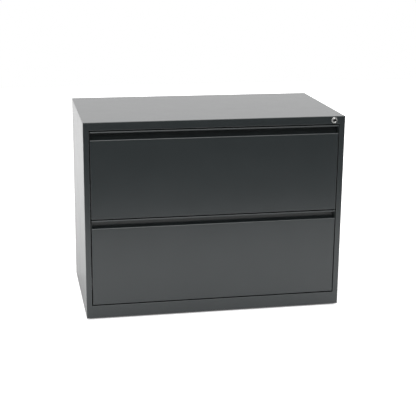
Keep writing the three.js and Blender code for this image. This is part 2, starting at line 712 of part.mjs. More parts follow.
// Everything at one drawer's level, measured from the lower edge of its front.
function addDrawer(parent, name, level) {
  const group = new THREE.Group();
  group.position.set(0, FRONT_Y, drawerBottomZ(level));
  parent.add(group);
  addPiece(group, `${name}_drawer_front`, drawerFront(), PAINT);
  addPiece(group, `${name}_drawer_liner`, drawerLiner(), PAINT);
  addPiece(group, `${name}_drawer_tray`, drawerTray(), PAINT);
  addPiece(group, `${name}_lock_hook`, lockHook(), ZINC);
  for (const [endName, end] of Object.entries(ENDS)) {
    addPiece(group, `${name}_hang_rail_${endName}`, hangRail(end), ZINC);
  }
  for (const [sideName, side] of Object.entries(SIDES)) {
    addPiece(group, `${name}_drawer_side_${sideName}`, drawerSide(side), PAINT);
    for (const [member, geometry] of Object.entries(slideMembers(side))) {
      addPiece(group, `${name}_slide_${member}_${sideName}`, geometry, ZINC);
    }
  }
}

const cabinet = new THREE.Group();
addCase(cabinet);
addLock(cabinet);
for (const [name, level] of Object.entries(DRAWERS)) {
  addDrawer(cabinet, name, level);
}

export default cabinet;
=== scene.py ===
"""Two-drawer lateral filing cabinet in charcoal powder coat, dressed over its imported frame.

Sizes are millimetres until a mesh is made, +Z is up and the front faces -Y. A sheet-metal piece is the
section of a folded sheet carried along an axis, a turned piece is a profile carried round one, and every
surface is worked out as whole arrays.
"""

import json
import logging
import math
from dataclasses import dataclass
from enum import Enum, auto
from typing import Any, Iterator, Protocol, Sequence

import bmesh
import bpy
import numpy as np
from mathutils import Matrix, Vector
from numpy.typing import NDArray


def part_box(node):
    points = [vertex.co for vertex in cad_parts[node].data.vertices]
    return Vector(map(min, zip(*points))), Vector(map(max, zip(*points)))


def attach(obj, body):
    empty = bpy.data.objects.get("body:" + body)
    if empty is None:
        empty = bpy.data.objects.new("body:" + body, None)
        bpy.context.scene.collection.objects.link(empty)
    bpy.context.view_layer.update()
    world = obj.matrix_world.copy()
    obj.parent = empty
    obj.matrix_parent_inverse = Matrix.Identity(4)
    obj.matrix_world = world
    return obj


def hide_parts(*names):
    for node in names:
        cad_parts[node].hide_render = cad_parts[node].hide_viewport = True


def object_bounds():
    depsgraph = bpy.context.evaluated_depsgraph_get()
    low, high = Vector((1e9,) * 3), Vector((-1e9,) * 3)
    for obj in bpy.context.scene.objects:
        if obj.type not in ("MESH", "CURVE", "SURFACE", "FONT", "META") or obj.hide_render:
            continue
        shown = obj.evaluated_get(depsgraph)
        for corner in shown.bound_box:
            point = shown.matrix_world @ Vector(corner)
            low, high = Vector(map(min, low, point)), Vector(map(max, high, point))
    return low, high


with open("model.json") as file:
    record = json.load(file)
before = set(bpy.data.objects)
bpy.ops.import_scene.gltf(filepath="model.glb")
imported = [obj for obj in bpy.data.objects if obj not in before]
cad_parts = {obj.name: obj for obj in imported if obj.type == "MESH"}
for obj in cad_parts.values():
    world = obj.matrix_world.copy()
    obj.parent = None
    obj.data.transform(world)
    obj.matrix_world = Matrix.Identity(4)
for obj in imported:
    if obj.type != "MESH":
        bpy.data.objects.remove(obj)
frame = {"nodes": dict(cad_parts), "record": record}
cad_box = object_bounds()

log = logging.getLogger("filing_cabinet")

Array = NDArray[np.float64]
Corner = tuple[float, ...]
Range = tuple[float, float]
Triple = tuple[float, float, float]

# A millimetre in metres, how near joined points lie in metres, and the flat beside a bend in millimetres
MM = 0.001
MERGE = 1e-7
HOLD = 0.4

# Steps in a bend and in a rounded edge, and the angles past which an edge is sharp or is rounded
BEND_STEPS = 8
EDGE_SEGMENTS = 2
SHARP_ANGLE = math.radians(40)
SOFT_ANGLE = math.radians(55)

# Sockets of a Mix node for colours, the middle of a noise, and the attribute that marks bends
MIX_FIRST, MIX_SECOND, MIX_RESULT = 6, 7, 2
NOISE_MIDDLE = 0.5
BENT = "bent"

RECORD = frame["record"]
BODY_OF = {node: body for body, nodes in RECORD["behaviour"]["bodies"].items() for node in nodes}
SLOT_OF = {part["node"]: part["material_slot"] for part in RECORD["subparts"]}


class Axis(Enum):
    """Axis that a section is carried along: the places of the section's two axes, then its own."""

    X = (1, 2, 0)
    Y = (0, 2, 1)
    Z = (0, 1, 2)

    def points(self, first: Array, second: Array, along: Array) -> Array:
        """Puts coordinates across and along the axis together.

        Args:
            first: Coordinates in the section's first direction.
            second: Coordinates in the section's second direction.
            along: Places along the axis.

        Returns:
            Points of the shape that the three arrays spread to.
        """
        coordinates = np.stack(np.broadcast_arrays(first, second, along), axis=-1)
        return coordinates[..., np.argsort(self.value)]


class Named(Enum):
    """Choice with a word of its own in the names of nodes."""

    @property
    def label(self) -> str:
        """The word."""
        return self.name.lower()


class Side(Named):
    """Left or right of the cabinet, as the sign of x."""

    LEFT = -1
    RIGHT = 1


class End(Named):
    """Front or rear of the cabinet, as the sign of y."""

    FRONT = -1
    REAR = 1


class Level(Named):
    """Lower or upper drawer."""

    LOWER = auto()
    UPPER = auto()


class Octaves(Enum):
    """How far a noise goes into detail."""

    SMOOTH = 2.0
    CLOUDY = 3.0
    GRAINY = 4.0


def span(node: str) -> tuple[Array, Array]:
    """Measures a node of the frame.

    Args:
        node: Name of the node.

    Returns:
        Its lowest and highest corners, in millimetres.
    """
    low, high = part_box(node)
    return np.array(low) / MM, np.array(high) / MM


def around(steps: int) -> Array:
    """Even angles round a turn, without the last, which is the first again."""
    return np.linspace(0, 2 * math.pi, steps, endpoint=False)


def stadium(start: Array, end: Array, radius: float, steps: int) -> Array:
    """Works out a loop at one distance from a segment: half a circle round its end, then round its start.

    Args:
        start: First point of the segment.
        end: Last point of the segment.
        radius: Distance from the segment, or 0 for the segment itself.
        steps: Points on each half circle.

    Returns:
        The loop.
    """
    heading = math.atan2(end[1] - start[1], end[0] - start[0])
    half = heading + np.linspace(-math.pi / 2, math.pi / 2, steps)
    angles = np.concatenate([half, half + math.pi])
    middles = np.repeat(np.stack([end, start]), steps, axis=0)
    return middles + radius * np.stack([np.cos(angles), np.sin(angles)], axis=1)


@dataclass(frozen=True)
class Section:
    """Cross-section of a folded sheet: the points of its two faces, and where it is bent."""

    left: Array
    right: Array
    bent: Array

    @classmethod
    def folded(cls, corners: Sequence[Corner], sheet: float, bend: float) -> "Section":
        """Works out a strip of one thickness along a line of corners.

        A corner that turns by an angle a becomes an arc of radius r, the bend's inside radius plus half the
        sheet. The arc starts r tan(a / 2) before the corner, and its points are its centre plus r along the
        turned normal. Every point of the line gives a point on each face, half a sheet along its normal. A
        holding point beside each arc keeps the flat next to it flat.

        Args:
            corners: Corners of the sheet's middle line, each with an inside radius of its own or without.
            sheet: Thickness of the sheet, or 0 for a plain rounded line.
            bend: Inside radius of the corners that give none.

        Returns:
            The section.
        """
        places = np.array([corner[:2] for corner in corners], float)
        bends = np.array([corner[2] if len(corner) > 2 else bend for corner in corners], float)
        legs = np.diff(places, axis=0)
        lengths = np.linalg.norm(legs, axis=1)
        heads = legs / lengths[:, None]
        normals = np.stack([-heads[:, 1], heads[:, 0]], axis=1)
        cross = heads[:-1, 0] * heads[1:, 1] - heads[:-1, 1] * heads[1:, 0]
        turns = np.arctan2(cross, (heads[:-1] * heads[1:]).sum(axis=1))
        radii = bends[1:-1] + sheet / 2
        setbacks = np.concatenate([[0.0], radii * np.tan(np.abs(turns) / 2), [0.0]])
        holds = np.minimum(HOLD, (lengths - setbacks[:-1] - setbacks[1:]) / 3)
        line, across, bent = [places[:1]], [normals[:1]], [np.zeros(1)]
        for i, (turn, radius) in enumerate(zip(turns, radii)):
            reach = math.copysign(radius, turn)
            start = places[i + 1] - heads[i] * setbacks[i + 1]
            angles = turn * np.linspace(0, 1, BEND_STEPS + 1)
            spin = np.array([[np.cos(angles), np.sin(angles)], [-np.sin(angles), np.cos(angles)]])
            spun = np.einsum("a,abk->kb", normals[i], spin)
            arc = start + normals[i] * reach - spun * reach
            line += [start[None] - heads[i] * holds[i], arc, arc[-1:] + heads[i + 1] * holds[i + 1]]
            across += [normals[i : i + 1], spun, normals[i + 1 : i + 2]]
            bent += [np.zeros(1), np.ones(BEND_STEPS + 1), np.zeros(1)]
        middle = np.concatenate([*line, places[-1:]])
        offset = np.concatenate([*across, normals[-1:]]) * sheet / 2
        return cls(middle + offset, middle - offset, np.concatenate([*bent, np.zeros(1)]))

    @property
    def ring(self) -> Array:
        """Closed outline, along one face and back along the other."""
        return np.concatenate([self.left, self.right[::-1]])

    @property
    def ring_bent(self) -> Array:
        """Bent or flat, for each point of the closed outline."""
        return np.concatenate([self.bent, self.bent[::-1]])

    def carried(self, axis: Axis, stations: Array) -> Array:
        """Carries the closed outline along an axis, as one outline for each station."""
        ring = self.ring
        return axis.points(ring[:, 0], ring[:, 1], stations[:, None])


@dataclass(frozen=True)
class Surface:
    """Points, the four-cornered faces between them, and how far each point lies on a bend."""

    points: Array
    quads: NDArray[np.int64]
    bent: Array

    def __add__(self, other: "Surface") -> "Surface":
        """Puts two surfaces into one."""
        return Surface(
            np.concatenate([self.points, other.points]),
            np.concatenate([self.quads, other.quads + len(self.points)]),
            np.concatenate([self.bent, other.bent]),
        )

    @classmethod
    def tube(cls, rings: Array, bent: Array) -> "Surface":
        """Skins a row of closed outlines and shuts both ends.

        Each outline runs along one face of a strip and back along the other, so a lid is the row of quads
        between the two runs.

        Args:
            rings: Outlines in order, all with the same even number of points.
            bent: Bent or flat, for each point of an outline.

        Returns:
            The closed surface.
        """
        count, along = rings.shape[:2]
        index = np.arange(count * along).reshape(count, along)
        ahead = np.roll(index, -1, axis=1)
        walls = np.stack([index[:-1], ahead[:-1], ahead[1:], index[1:]], axis=-1).reshape(-1, 4)
        step = np.arange(along // 2 - 1)
        lid = np.stack([step, step + 1, along - 2 - step, along - 1 - step], axis=1)
        quads = np.concatenate([walls, lid, lid + index[-1, 0]])
        return cls(rings.reshape(-1, 3), quads, np.tile(bent, count))

    @classmethod
    def folded(
        cls, corners: Sequence[Corner], sheet: float, bend: float, axis: Axis, start: float, end: float
    ) -> "Surface":
        """Folds a sheet along a line of corners and carries the section straight along an axis.

        Args:
            corners: Corners of the section, as Section.folded takes them.
            sheet: Thickness of the sheet.
            bend: Inside radius of the bends.
            axis: Axis to carry the section along.
            start: Place of one end.
            end: Place of the other end.

        Returns:
            The closed surface.
        """
        section = Section.folded(corners, sheet, bend)
        return cls.tube(section.carried(axis, np.array([start, end])), section.ring_bent)

    @classmethod
    def plate(
        cls, start: Corner, end: Corner, sheet: float, axis: Axis, low: float, high: float
    ) -> "Surface":
        """Flat plate: a straight strip between two points of a section, carried from low to high."""
        return cls.folded([start, end], sheet, 0.0, axis, low, high)

    @classmethod
    def lattice(cls, rows: Array, closed: bool = False) -> "Surface":
        """Skins rows of points that each run round a loop.

        Args:
            rows: Loops in order. A loop shrunk to one point is a pole.
            closed: Whether the last loop joins the first.

        Returns:
            The surface.
        """
        count, along = rows.shape[:2]
        index = np.arange(count * along).reshape(count, along)
        here, above = (index, np.roll(index, -1, axis=0)) if closed else (index[:-1], index[1:])
        quads = np.stack([here, np.roll(here, -1, axis=1), np.roll(above, -1, axis=1), above], axis=-1)
        return cls(rows.reshape(-1, 3), quads.reshape(-1, 4), np.zeros(count * along))

    @classmethod
    def turned(
        cls, profile: Array, axis: Axis, centre: Sequence[float], steps: int, closed: bool = False
    ) -> "Surface":
        """Turns a profile about an axis: (centre + r cos a, centre + r sin a) at each of its heights.

        Args:
            profile: Radius and height of each point.
            axis: Axis to turn about.
            centre: Place of the axis in its own two cross directions.
            steps: Points round a turn.
            closed: Whether the profile closes on itself.

        Returns:
            The surface.
        """
        angles = around(steps)
        radii, heights = profile[:, :1], profile[:, 1:]
        across, up = centre[0] + radii * np.cos(angles), centre[1] + radii * np.sin(angles)
        return cls.lattice(axis.points(across, up, heights), closed)

    @classmethod
    def stacked(cls, loops: Sequence[tuple[Array, float]], axis: Axis, closed: bool = False) -> "Surface":
        """Skins outlines that stand one behind the other.

        Args:
            loops: Each outline with its place along the axis, all with the same number of points.
            axis: Axis that the outlines stand across.
            closed: Whether the last outline joins the first.

        Returns:
            The surface.
        """
        outlines = np.stack([outline for outline, _ in loops])
        places = np.array([place for _, place in loops])
        return cls.lattice(axis.points(outlines[..., 0], outlines[..., 1], places[:, None]), closed)

    @classmethod
    def balls(cls, centres: Array, radius: float, rows: int = 8, columns: int = 12) -> "Surface":
        """Sets one sphere, (sin p cos a, sin p sin a, cos p) times the radius, at every centre.

        Args:
            centres: Middle of each ball.
            radius: Radius of a ball.
            rows: Bands from pole to pole.
            columns: Points round a band.

        Returns:
            All the balls as one surface.
        """
        polar = np.linspace(0, math.pi, rows + 1)[:, None]
        angles = around(columns)
        unit = Axis.Z.points(np.sin(polar) * np.cos(angles), np.sin(polar) * np.sin(angles), np.cos(polar))
        ball = cls.lattice(unit * radius)
        points = centres[:, None] + ball.points[None]
        quads = ball.quads[None] + (np.arange(len(centres)) * len(ball.points))[:, None, None]
        return cls(points.reshape(-1, 3), quads.reshape(-1, 4), np.zeros(points.shape[0] * points.shape[1]))


class Signal:
    """Output of a shader node. Arithmetic on it adds Math nodes to its graph."""

    def __init__(self, graph: "Graph", socket: bpy.types.NodeSocket | None) -> None:
        """Holds a socket and its graph. A node that gives nothing out has no socket."""
        self.graph = graph
        self.socket = socket

    def __add__(self, other: "Signal | float") -> "Signal":
        """Sum of two values."""
        return self.graph.math("ADD", self, other)

    def __sub__(self, other: "Signal | float") -> "Signal":
        """Difference of two values."""
        return self.graph.math("SUBTRACT", self, other)

    def __rsub__(self, other: float) -> "Signal":
        """Difference from a number."""
        return self.graph.math("SUBTRACT", other, self)

    def __mul__(self, other: "Signal | float") -> "Signal":
        """Product of two values."""
        return self.graph.math("MULTIPLY", self, other)

    __radd__ = __add__
    __rmul__ = __mul__

    def smooth(self, low: float, high: float) -> "Signal":
        """Eases the value from 0 at low to 1 at high."""
        inputs = {"Value": self, "From Min": low, "From Max": high}
        return self.graph.node("ShaderNodeMapRange", {"interpolation_type": "SMOOTHSTEP"}, inputs)

    def swing(self, amount: float, middle: float = NOISE_MIDDLE) -> "Signal":
        """Turns a pattern into a swing about zero, of the amount from end to end."""
        return (self - middle) * amount


class Graph:
    """Node tree of a material or a world, with one way to add a node."""

    def __init__(self, tree: bpy.types.NodeTree) -> None:
        """Empties the tree."""
        self.tree = tree
        tree.nodes.clear()

    def node(
        self,
        kind: str,
        settings: dict[str, Any] | None = None,
        inputs: dict[str | int, Any] | None = None,
        output: str | int = 0,
    ) -> Signal:
        """Adds a node.

        Args:
            kind: Type of the node.
            settings: The node's own properties, set first.
            inputs: Numbers, colours or signals for its sockets.
            output: Socket to give back.

        Returns:
            The chosen output.
        """
        made = self.tree.nodes.new(kind)
        for name, value in (settings or {}).items():
            setattr(made, name, value)
        for name, value in (inputs or {}).items():
            if isinstance(value, Signal):
                self.tree.links.new(value.socket, made.inputs[name])
            else:
                made.inputs[name].default_value = value
        return Signal(self, made.outputs[output] if made.outputs else None)

    def math(self, operation: str, first: Signal | float, second: Signal | float) -> Signal:
        """Adds a Math node for an operation on two values."""
        return self.node("ShaderNodeMath", {"operation": operation}, {0: first, 1: second})

    def mix(self, factor: Signal, first: Triple | Signal, second: Triple) -> Signal:
        """Mixes two colours.

        Args:
            factor: Share of the second colour.
            first: First colour.
            second: Second colour.

        Returns:
            The mixed colour.
        """
        start = first if isinstance(first, Signal) else (*first, 1.0)
        inputs = {0: factor, MIX_FIRST: start, MIX_SECOND: (*second, 1.0)}
        return self.node("ShaderNodeMix", {"data_type": "RGBA"}, inputs, MIX_RESULT)

    def place(self, stretch: Triple = (1.0, 1.0, 1.0)) -> Signal:
        """Object coordinates, stretched along each axis."""
        where = self.node("ShaderNodeTexCoord", output="Object")
        return self.node("ShaderNodeMapping", inputs={"Vector": where, "Scale": stretch})

    def coordinate(self, vector: Signal, name: str) -> Signal:
        """One coordinate of a vector."""
        return self.node("ShaderNodeSeparateXYZ", inputs={0: vector}, output=name)

    def noise(self, where: Signal, per_metre: float, octaves: Octaves = Octaves.SMOOTH) -> Signal:
        """Noise with a number of features to the metre."""
        inputs = {"Vector": where, "Scale": per_metre, "Detail": octaves.value}
        return self.node("ShaderNodeTexNoise", inputs=inputs)

    def bump(self, height: Signal, depth: float, strength: float) -> Signal:
        """Normal bumped by a height of 0 to 1 times a depth in millimetres."""
        inputs = {"Height": height, "Distance": depth * MM, "Strength": strength}
        return self.node("ShaderNodeBump", inputs=inputs)

    def seen(self) -> Signal:
        """1 for what the camera sees directly, and 0 for what lights or mirrors the scene."""
        return self.node("ShaderNodeLightPath", output="Is Camera Ray")


def shade(colour: Triple, factor: float) -> Triple:
    """Colour made lighter or darker by a factor."""
    return tuple(channel * factor for channel in colour)


@dataclass(frozen=True)
class Finish:
    """Surface finish that dresses one material slot of the record."""

    name: str
    slot: str
    colour: Triple
    roughness: float

    def sockets(self, graph: Graph) -> dict[str, Any]:
        """Works out what the finish feeds to its shader."""
        raise NotImplementedError

    def material(self) -> bpy.types.Material:
        """Makes the finish's material, once.

        Returns:
            The material.
        """
        made = bpy.data.materials.get(self.name)
        if made is None:
            made = bpy.data.materials.new(self.name)
            made.use_nodes = True
            graph = Graph(made.node_tree)
            shader = graph.node("ShaderNodeBsdfPrincipled", inputs=self.sockets(graph))
            graph.node("ShaderNodeOutputMaterial", inputs={"Surface": shader})
        return made


@dataclass(frozen=True)
class PowderCoat(Finish):
    """Satin powder coat: orange peel, uneven gloss, and a coat that thins and polishes on the folds,
    painted lighter there, partly for the thinner coat and partly as a painted highlight.
    """

    name: str = "charcoal_powder_coat"
    slot: str = "charcoal_paint"
    colour: Triple = (0.0190, 0.0242, 0.0258)
    roughness: float = 0.38
    # Lighter colour on the bends: partly the thinner coat, partly a painted highlight
    worn: Triple = (0.045, 0.052, 0.053)
    fold_wear: float = 0.4
    fold_polish: float = 0.06
    peel_per_metre: float = 620.0
    peel_gloss: float = 0.06
    peel_depth: float = 0.03
    peel_strength: float = 0.5
    cloud_per_metre: float = 8.0
    cloud_tint: float = 0.1
    cloud_gloss: float = 0.08
    coat: float = 0.7
    coat_cloud: float = 0.15
    coat_roughness: float = 0.22
    resin_index: float = 1.5

    def sockets(self, graph: Graph) -> dict[str, Any]:
        """Works out what the finish feeds to its shader.

        Args:
            graph: Graph of the material.

        Returns:
            A number, colour or signal for each socket.
        """
        where = graph.place()
        peel = graph.noise(where, self.peel_per_metre)
        cloud = graph.noise(where, self.cloud_per_metre, Octaves.CLOUDY)
        fold = graph.node("ShaderNodeAttribute", {"attribute_name": BENT}, output="Fac")
        deep, light = shade(self.colour, 1 - self.cloud_tint), shade(self.colour, 1 + self.cloud_tint)
        gloss = cloud.swing(self.cloud_gloss) + peel.swing(self.peel_gloss) - fold * self.fold_polish
        return {
            # Bends painted lighter: partly thinner coat, partly painted highlight
            "Base Color": graph.mix(fold * self.fold_wear, graph.mix(cloud, deep, light), self.worn),
            "Roughness": self.roughness + gloss,
            "IOR": self.resin_index,
            "Coat Weight": self.coat + cloud.swing(self.coat_cloud),
            "Coat Roughness": self.coat_roughness,
            "Coat IOR": self.resin_index,
            "Normal": graph.bump(peel, self.peel_depth, self.peel_strength),
        }


@dataclass(frozen=True)
class ZincPlate(Finish):
    """Bright zinc plate over rolled steel: faint spangle, and drawing marks along the slides."""

    name: str = "zinc_plated_steel"
    slot: str = "zinc_plate"
    colour: Triple = (0.62, 0.63, 0.64)
    roughness: float = 0.34
    dull: Triple = (0.44, 0.45, 0.46)
    cloud_per_metre: float = 45.0
    spangle_per_metre: float = 260.0
    spangle_middle: float = 0.4
    spangle_tint: float = 0.3
    spangle_gloss: float = 0.08
    streak_stretch: Triple = (1.0, 0.03, 1.0)
    streak_per_metre: float = 1500.0
    streak_gloss: float = 0.18
    streak_depth: float = 0.02
    streak_strength: float = 0.4

    def sockets(self, graph: Graph) -> dict[str, Any]:
        """Works out what the finish feeds to its shader.

        Args:
            graph: Graph of the material.

        Returns:
            A number, colour or signal for each socket.
        """
        where = graph.place()
        cloud = graph.noise(where, self.cloud_per_metre, Octaves.CLOUDY)
        cells = {"Vector": where, "Scale": self.spangle_per_metre}
        spangle = graph.node("ShaderNodeTexVoronoi", inputs=cells, output="Distance")
        streak = graph.noise(graph.place(self.streak_stretch), self.streak_per_metre)
        tint = cloud * (1 - self.spangle_tint) + spangle * self.spangle_tint
        gloss = streak.swing(self.streak_gloss) + spangle.swing(self.spangle_gloss, self.spangle_middle)
        return {
            "Base Color": graph.mix(tint, self.dull, self.colour),
            "Metallic": 1.0,
            "Roughness": self.roughness + gloss,
            "Normal": graph.bump(streak, self.streak_depth, self.streak_strength),
        }


@dataclass(frozen=True)
class ChromePlate(Finish):
    """Bright chrome plate with hairline scratches from keys."""

    name: str = "lock_bright_chrome"
    slot: str = "lock_chrome"
    colour: Triple = (0.80, 0.80, 0.78)
    roughness: float = 0.10
    haze_per_metre: float = 220.0
    haze_tint: float = 0.08
    haze_gloss: float = 0.04
    scratch_stretch: Triple = (1.0, 1.0, 0.08)
    scratch_per_metre: float = 2600.0
    scratch_edge: Range = (0.6, 0.75)
    scratch_gloss: float = 0.12
    scratch_depth: float = 0.01
    scratch_strength: float = 0.3

    def sockets(self, graph: Graph) -> dict[str, Any]:
        """Works out what the finish feeds to its shader.

        Args:
            graph: Graph of the material.

        Returns:
            A number, colour or signal for each socket.
        """
        scratch = graph.noise(graph.place(self.scratch_stretch), self.scratch_per_metre, Octaves.CLOUDY)
        haze = graph.noise(graph.place(), self.haze_per_metre)
        gloss = scratch.smooth(*self.scratch_edge) * self.scratch_gloss + haze.swing(self.haze_gloss)
        return {
            "Base Color": graph.mix(haze, shade(self.colour, 1 - self.haze_tint), self.colour),
            "Metallic": 1.0,
            "Roughness": self.roughness + gloss,
            "Normal": graph.bump(scratch, self.scratch_depth, self.scratch_strength),
        }


@dataclass(frozen=True)
class CastIron(Finish):
    """Raw dark iron with a sandy skin and traces of rust."""

    name: str = "raw_ballast_iron"
    slot: str = "ballast_iron"
    colour: Triple = (0.030, 0.030, 0.031)
    roughness: float = 0.75
    metal: float = 0.6
    grain_per_metre: float = 900.0
    grain_gloss: float = 0.2
    grain_depth: float = 0.2
    grain_strength: float = 0.8
    rust: Triple = (0.07, 0.035, 0.02)
    rust_per_metre: float = 18.0
    rust_edge: Range = (0.55, 0.75)
    rust_cover: float = 0.6
    rust_metal_loss: float = 0.5

    def sockets(self, graph: Graph) -> dict[str, Any]:
        """Works out what the finish feeds to its shader.

        Args:
            graph: Graph of the material.

        Returns:
            A number, colour or signal for each socket.
        """
        where = graph.place()
        grain = graph.noise(where, self.grain_per_metre, Octaves.GRAINY)
        bloom = graph.noise(where, self.rust_per_metre, Octaves.GRAINY).smooth(*self.rust_edge)
        return {
            "Base Color": graph.mix(bloom * self.rust_cover, self.colour, self.rust),
            "Metallic": self.metal - bloom * self.rust_metal_loss,
            "Roughness": self.roughness + grain.swing(self.grain_gloss),
            "Normal": graph.bump(grain, self.grain_depth, self.grain_strength),
        }


@dataclass(frozen=True)
class GlidePolymer(Finish):
    """Matt black moulded polymer with a fine spark texture and scuffs."""

    name: str = "moulded_glide_polymer"
    slot: str = "glide_polymer"
    colour: Triple = (0.012, 0.012, 0.012)
    roughness: float = 0.55
    spark_per_metre: float = 1800.0
    spark_gloss: float = 0.16
    spark_depth: float = 0.03
    spark_strength: float = 0.6
    scuff: Triple = (0.05, 0.05, 0.05)
    scuff_per_metre: float = 140.0
    scuff_edge: Range = (0.58, 0.72)
    scuff_cover: float = 0.5
    scuff_gloss: float = 0.1

    def sockets(self, graph: Graph) -> dict[str, Any]:
        """Works out what the finish feeds to its shader.

        Args:
            graph: Graph of the material.

        Returns:
            A number, colour or signal for each socket.
        """
        where = graph.place()
        spark = graph.noise(where, self.spark_per_metre, Octaves.CLOUDY)
        rub = graph.noise(where, self.scuff_per_metre, Octaves.GRAINY).smooth(*self.scuff_edge)
        return {
            "Base Color": graph.mix(rub * self.scuff_cover, self.colour, self.scuff),
            "Roughness": self.roughness + spark.swing(self.spark_gloss) + rub * self.scuff_gloss,
            "Normal": graph.bump(spark, self.spark_depth, self.spark_strength),
        }


FINISHES: dict[str, Finish] = {
    finish.slot: finish for finish in (PowderCoat(), ZincPlate(), ChromePlate(), CastIron(), GlidePolymer())
}


def add_piece(node: str, form: str, surface: Surface, edge: float = 0.0) -> None:
    """Makes a mesh that stands for a node of the frame, rides with its body and wears its finish.

    Args:
        node: Node that the piece replaces.
        form: Word for how the piece is made, added to its name.
        surface: Shape, in millimetres.
        edge: Width of the rounding on its cut edges, or 0 for none.
    """
    name = f"{node}_{form}"
    mesh = bpy.data.meshes.new(name)
    mesh.from_pydata((surface.points * MM).tolist(), [], surface.quads.tolist())
    mesh.attributes.new(BENT, "FLOAT", "POINT").data.foreach_set("value", surface.bent)
    work = bmesh.new()
    work.from_mesh(mesh)
    bmesh.ops.remove_doubles(work, verts=work.verts, dist=MERGE)
    bmesh.ops.recalc_face_normals(work, faces=work.faces)
    work.to_mesh(mesh)
    work.free()
    mesh.shade_smooth()
    mesh.set_sharp_from_angle(angle=SHARP_ANGLE)
    piece = bpy.data.objects.new(name, mesh)
    bpy.context.scene.collection.objects.link(piece)
    if edge:
        soften = piece.modifiers.new("soft_cut_edges", "BEVEL")
        soften.width = edge * MM
        soften.segments = EDGE_SEGMENTS
        soften.limit_method = "ANGLE"
        soften.angle_limit = SOFT_ANGLE
    piece.modifiers.new("flat_faces_shade_flat", "WEIGHTED_NORMAL").keep_sharp = True
    finish = FINISHES[SLOT_OF[node]]
    mesh.materials.append(finish.material())
    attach(piece, BODY_OF[node])
    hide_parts(node)
    log.info("%s: %d faces, rides on %s", name, len(mesh.polygons), BODY_OF[node])


@dataclass(frozen=True)
class PanScrew:
    """Pan-head screw with a cross recess."""

    radius: float = 3.6
    height: float = 1.6
    dome_power: int = 4
    arm_reach: float = 2.2
    arm_half_width: float = 0.45
    recess: float = 1.0
    wall: float = 0.25
    rows: int = 16
    columns: int = 48

    def head(self, axis: Axis, seat: Sequence[float], place: float, outward: float) -> Surface:
        """Works out a head on a flat seat.

        At distance r from its middle the head is H (1 - (r / R)^n) high. Inside either arm of the cross,
        where both the way along and the way across are within the arm, it is lower by the depth of the
        recess. A last row, drawn into the middle of the seat, closes it below.

        Args:
            axis: Axis of the screw.
            seat: Place of the screw in the axis's two cross directions.
            place: Place of the seat along the axis.
            outward: Direction of the head along the axis, as a sign.

        Returns:
            The closed head.
        """
        reach = np.linspace(0, 1, self.rows)[:, None] * self.radius
        angles = around(self.columns)
        u, v = reach * np.cos(angles), reach * np.sin(angles)
        wide = [np.clip((self.arm_half_width - np.abs(way)) / self.wall, 0, 1) for way in (v, u)]
        deep = [np.clip((self.arm_reach - np.abs(way)) / self.wall, 0, 1) for way in (u, v)]
        cross = np.maximum(wide[0] * deep[0], wide[1] * deep[1])
        rise = self.height * (1 - (reach / self.radius) ** self.dome_power) - self.recess * cross
        under = np.zeros((1, self.columns))
        u, v, rise = (np.concatenate([part, under]) for part in (u, v, rise))
        return Surface.lattice(axis.points(seat[0] + u, seat[1] + v, place + outward * rise))


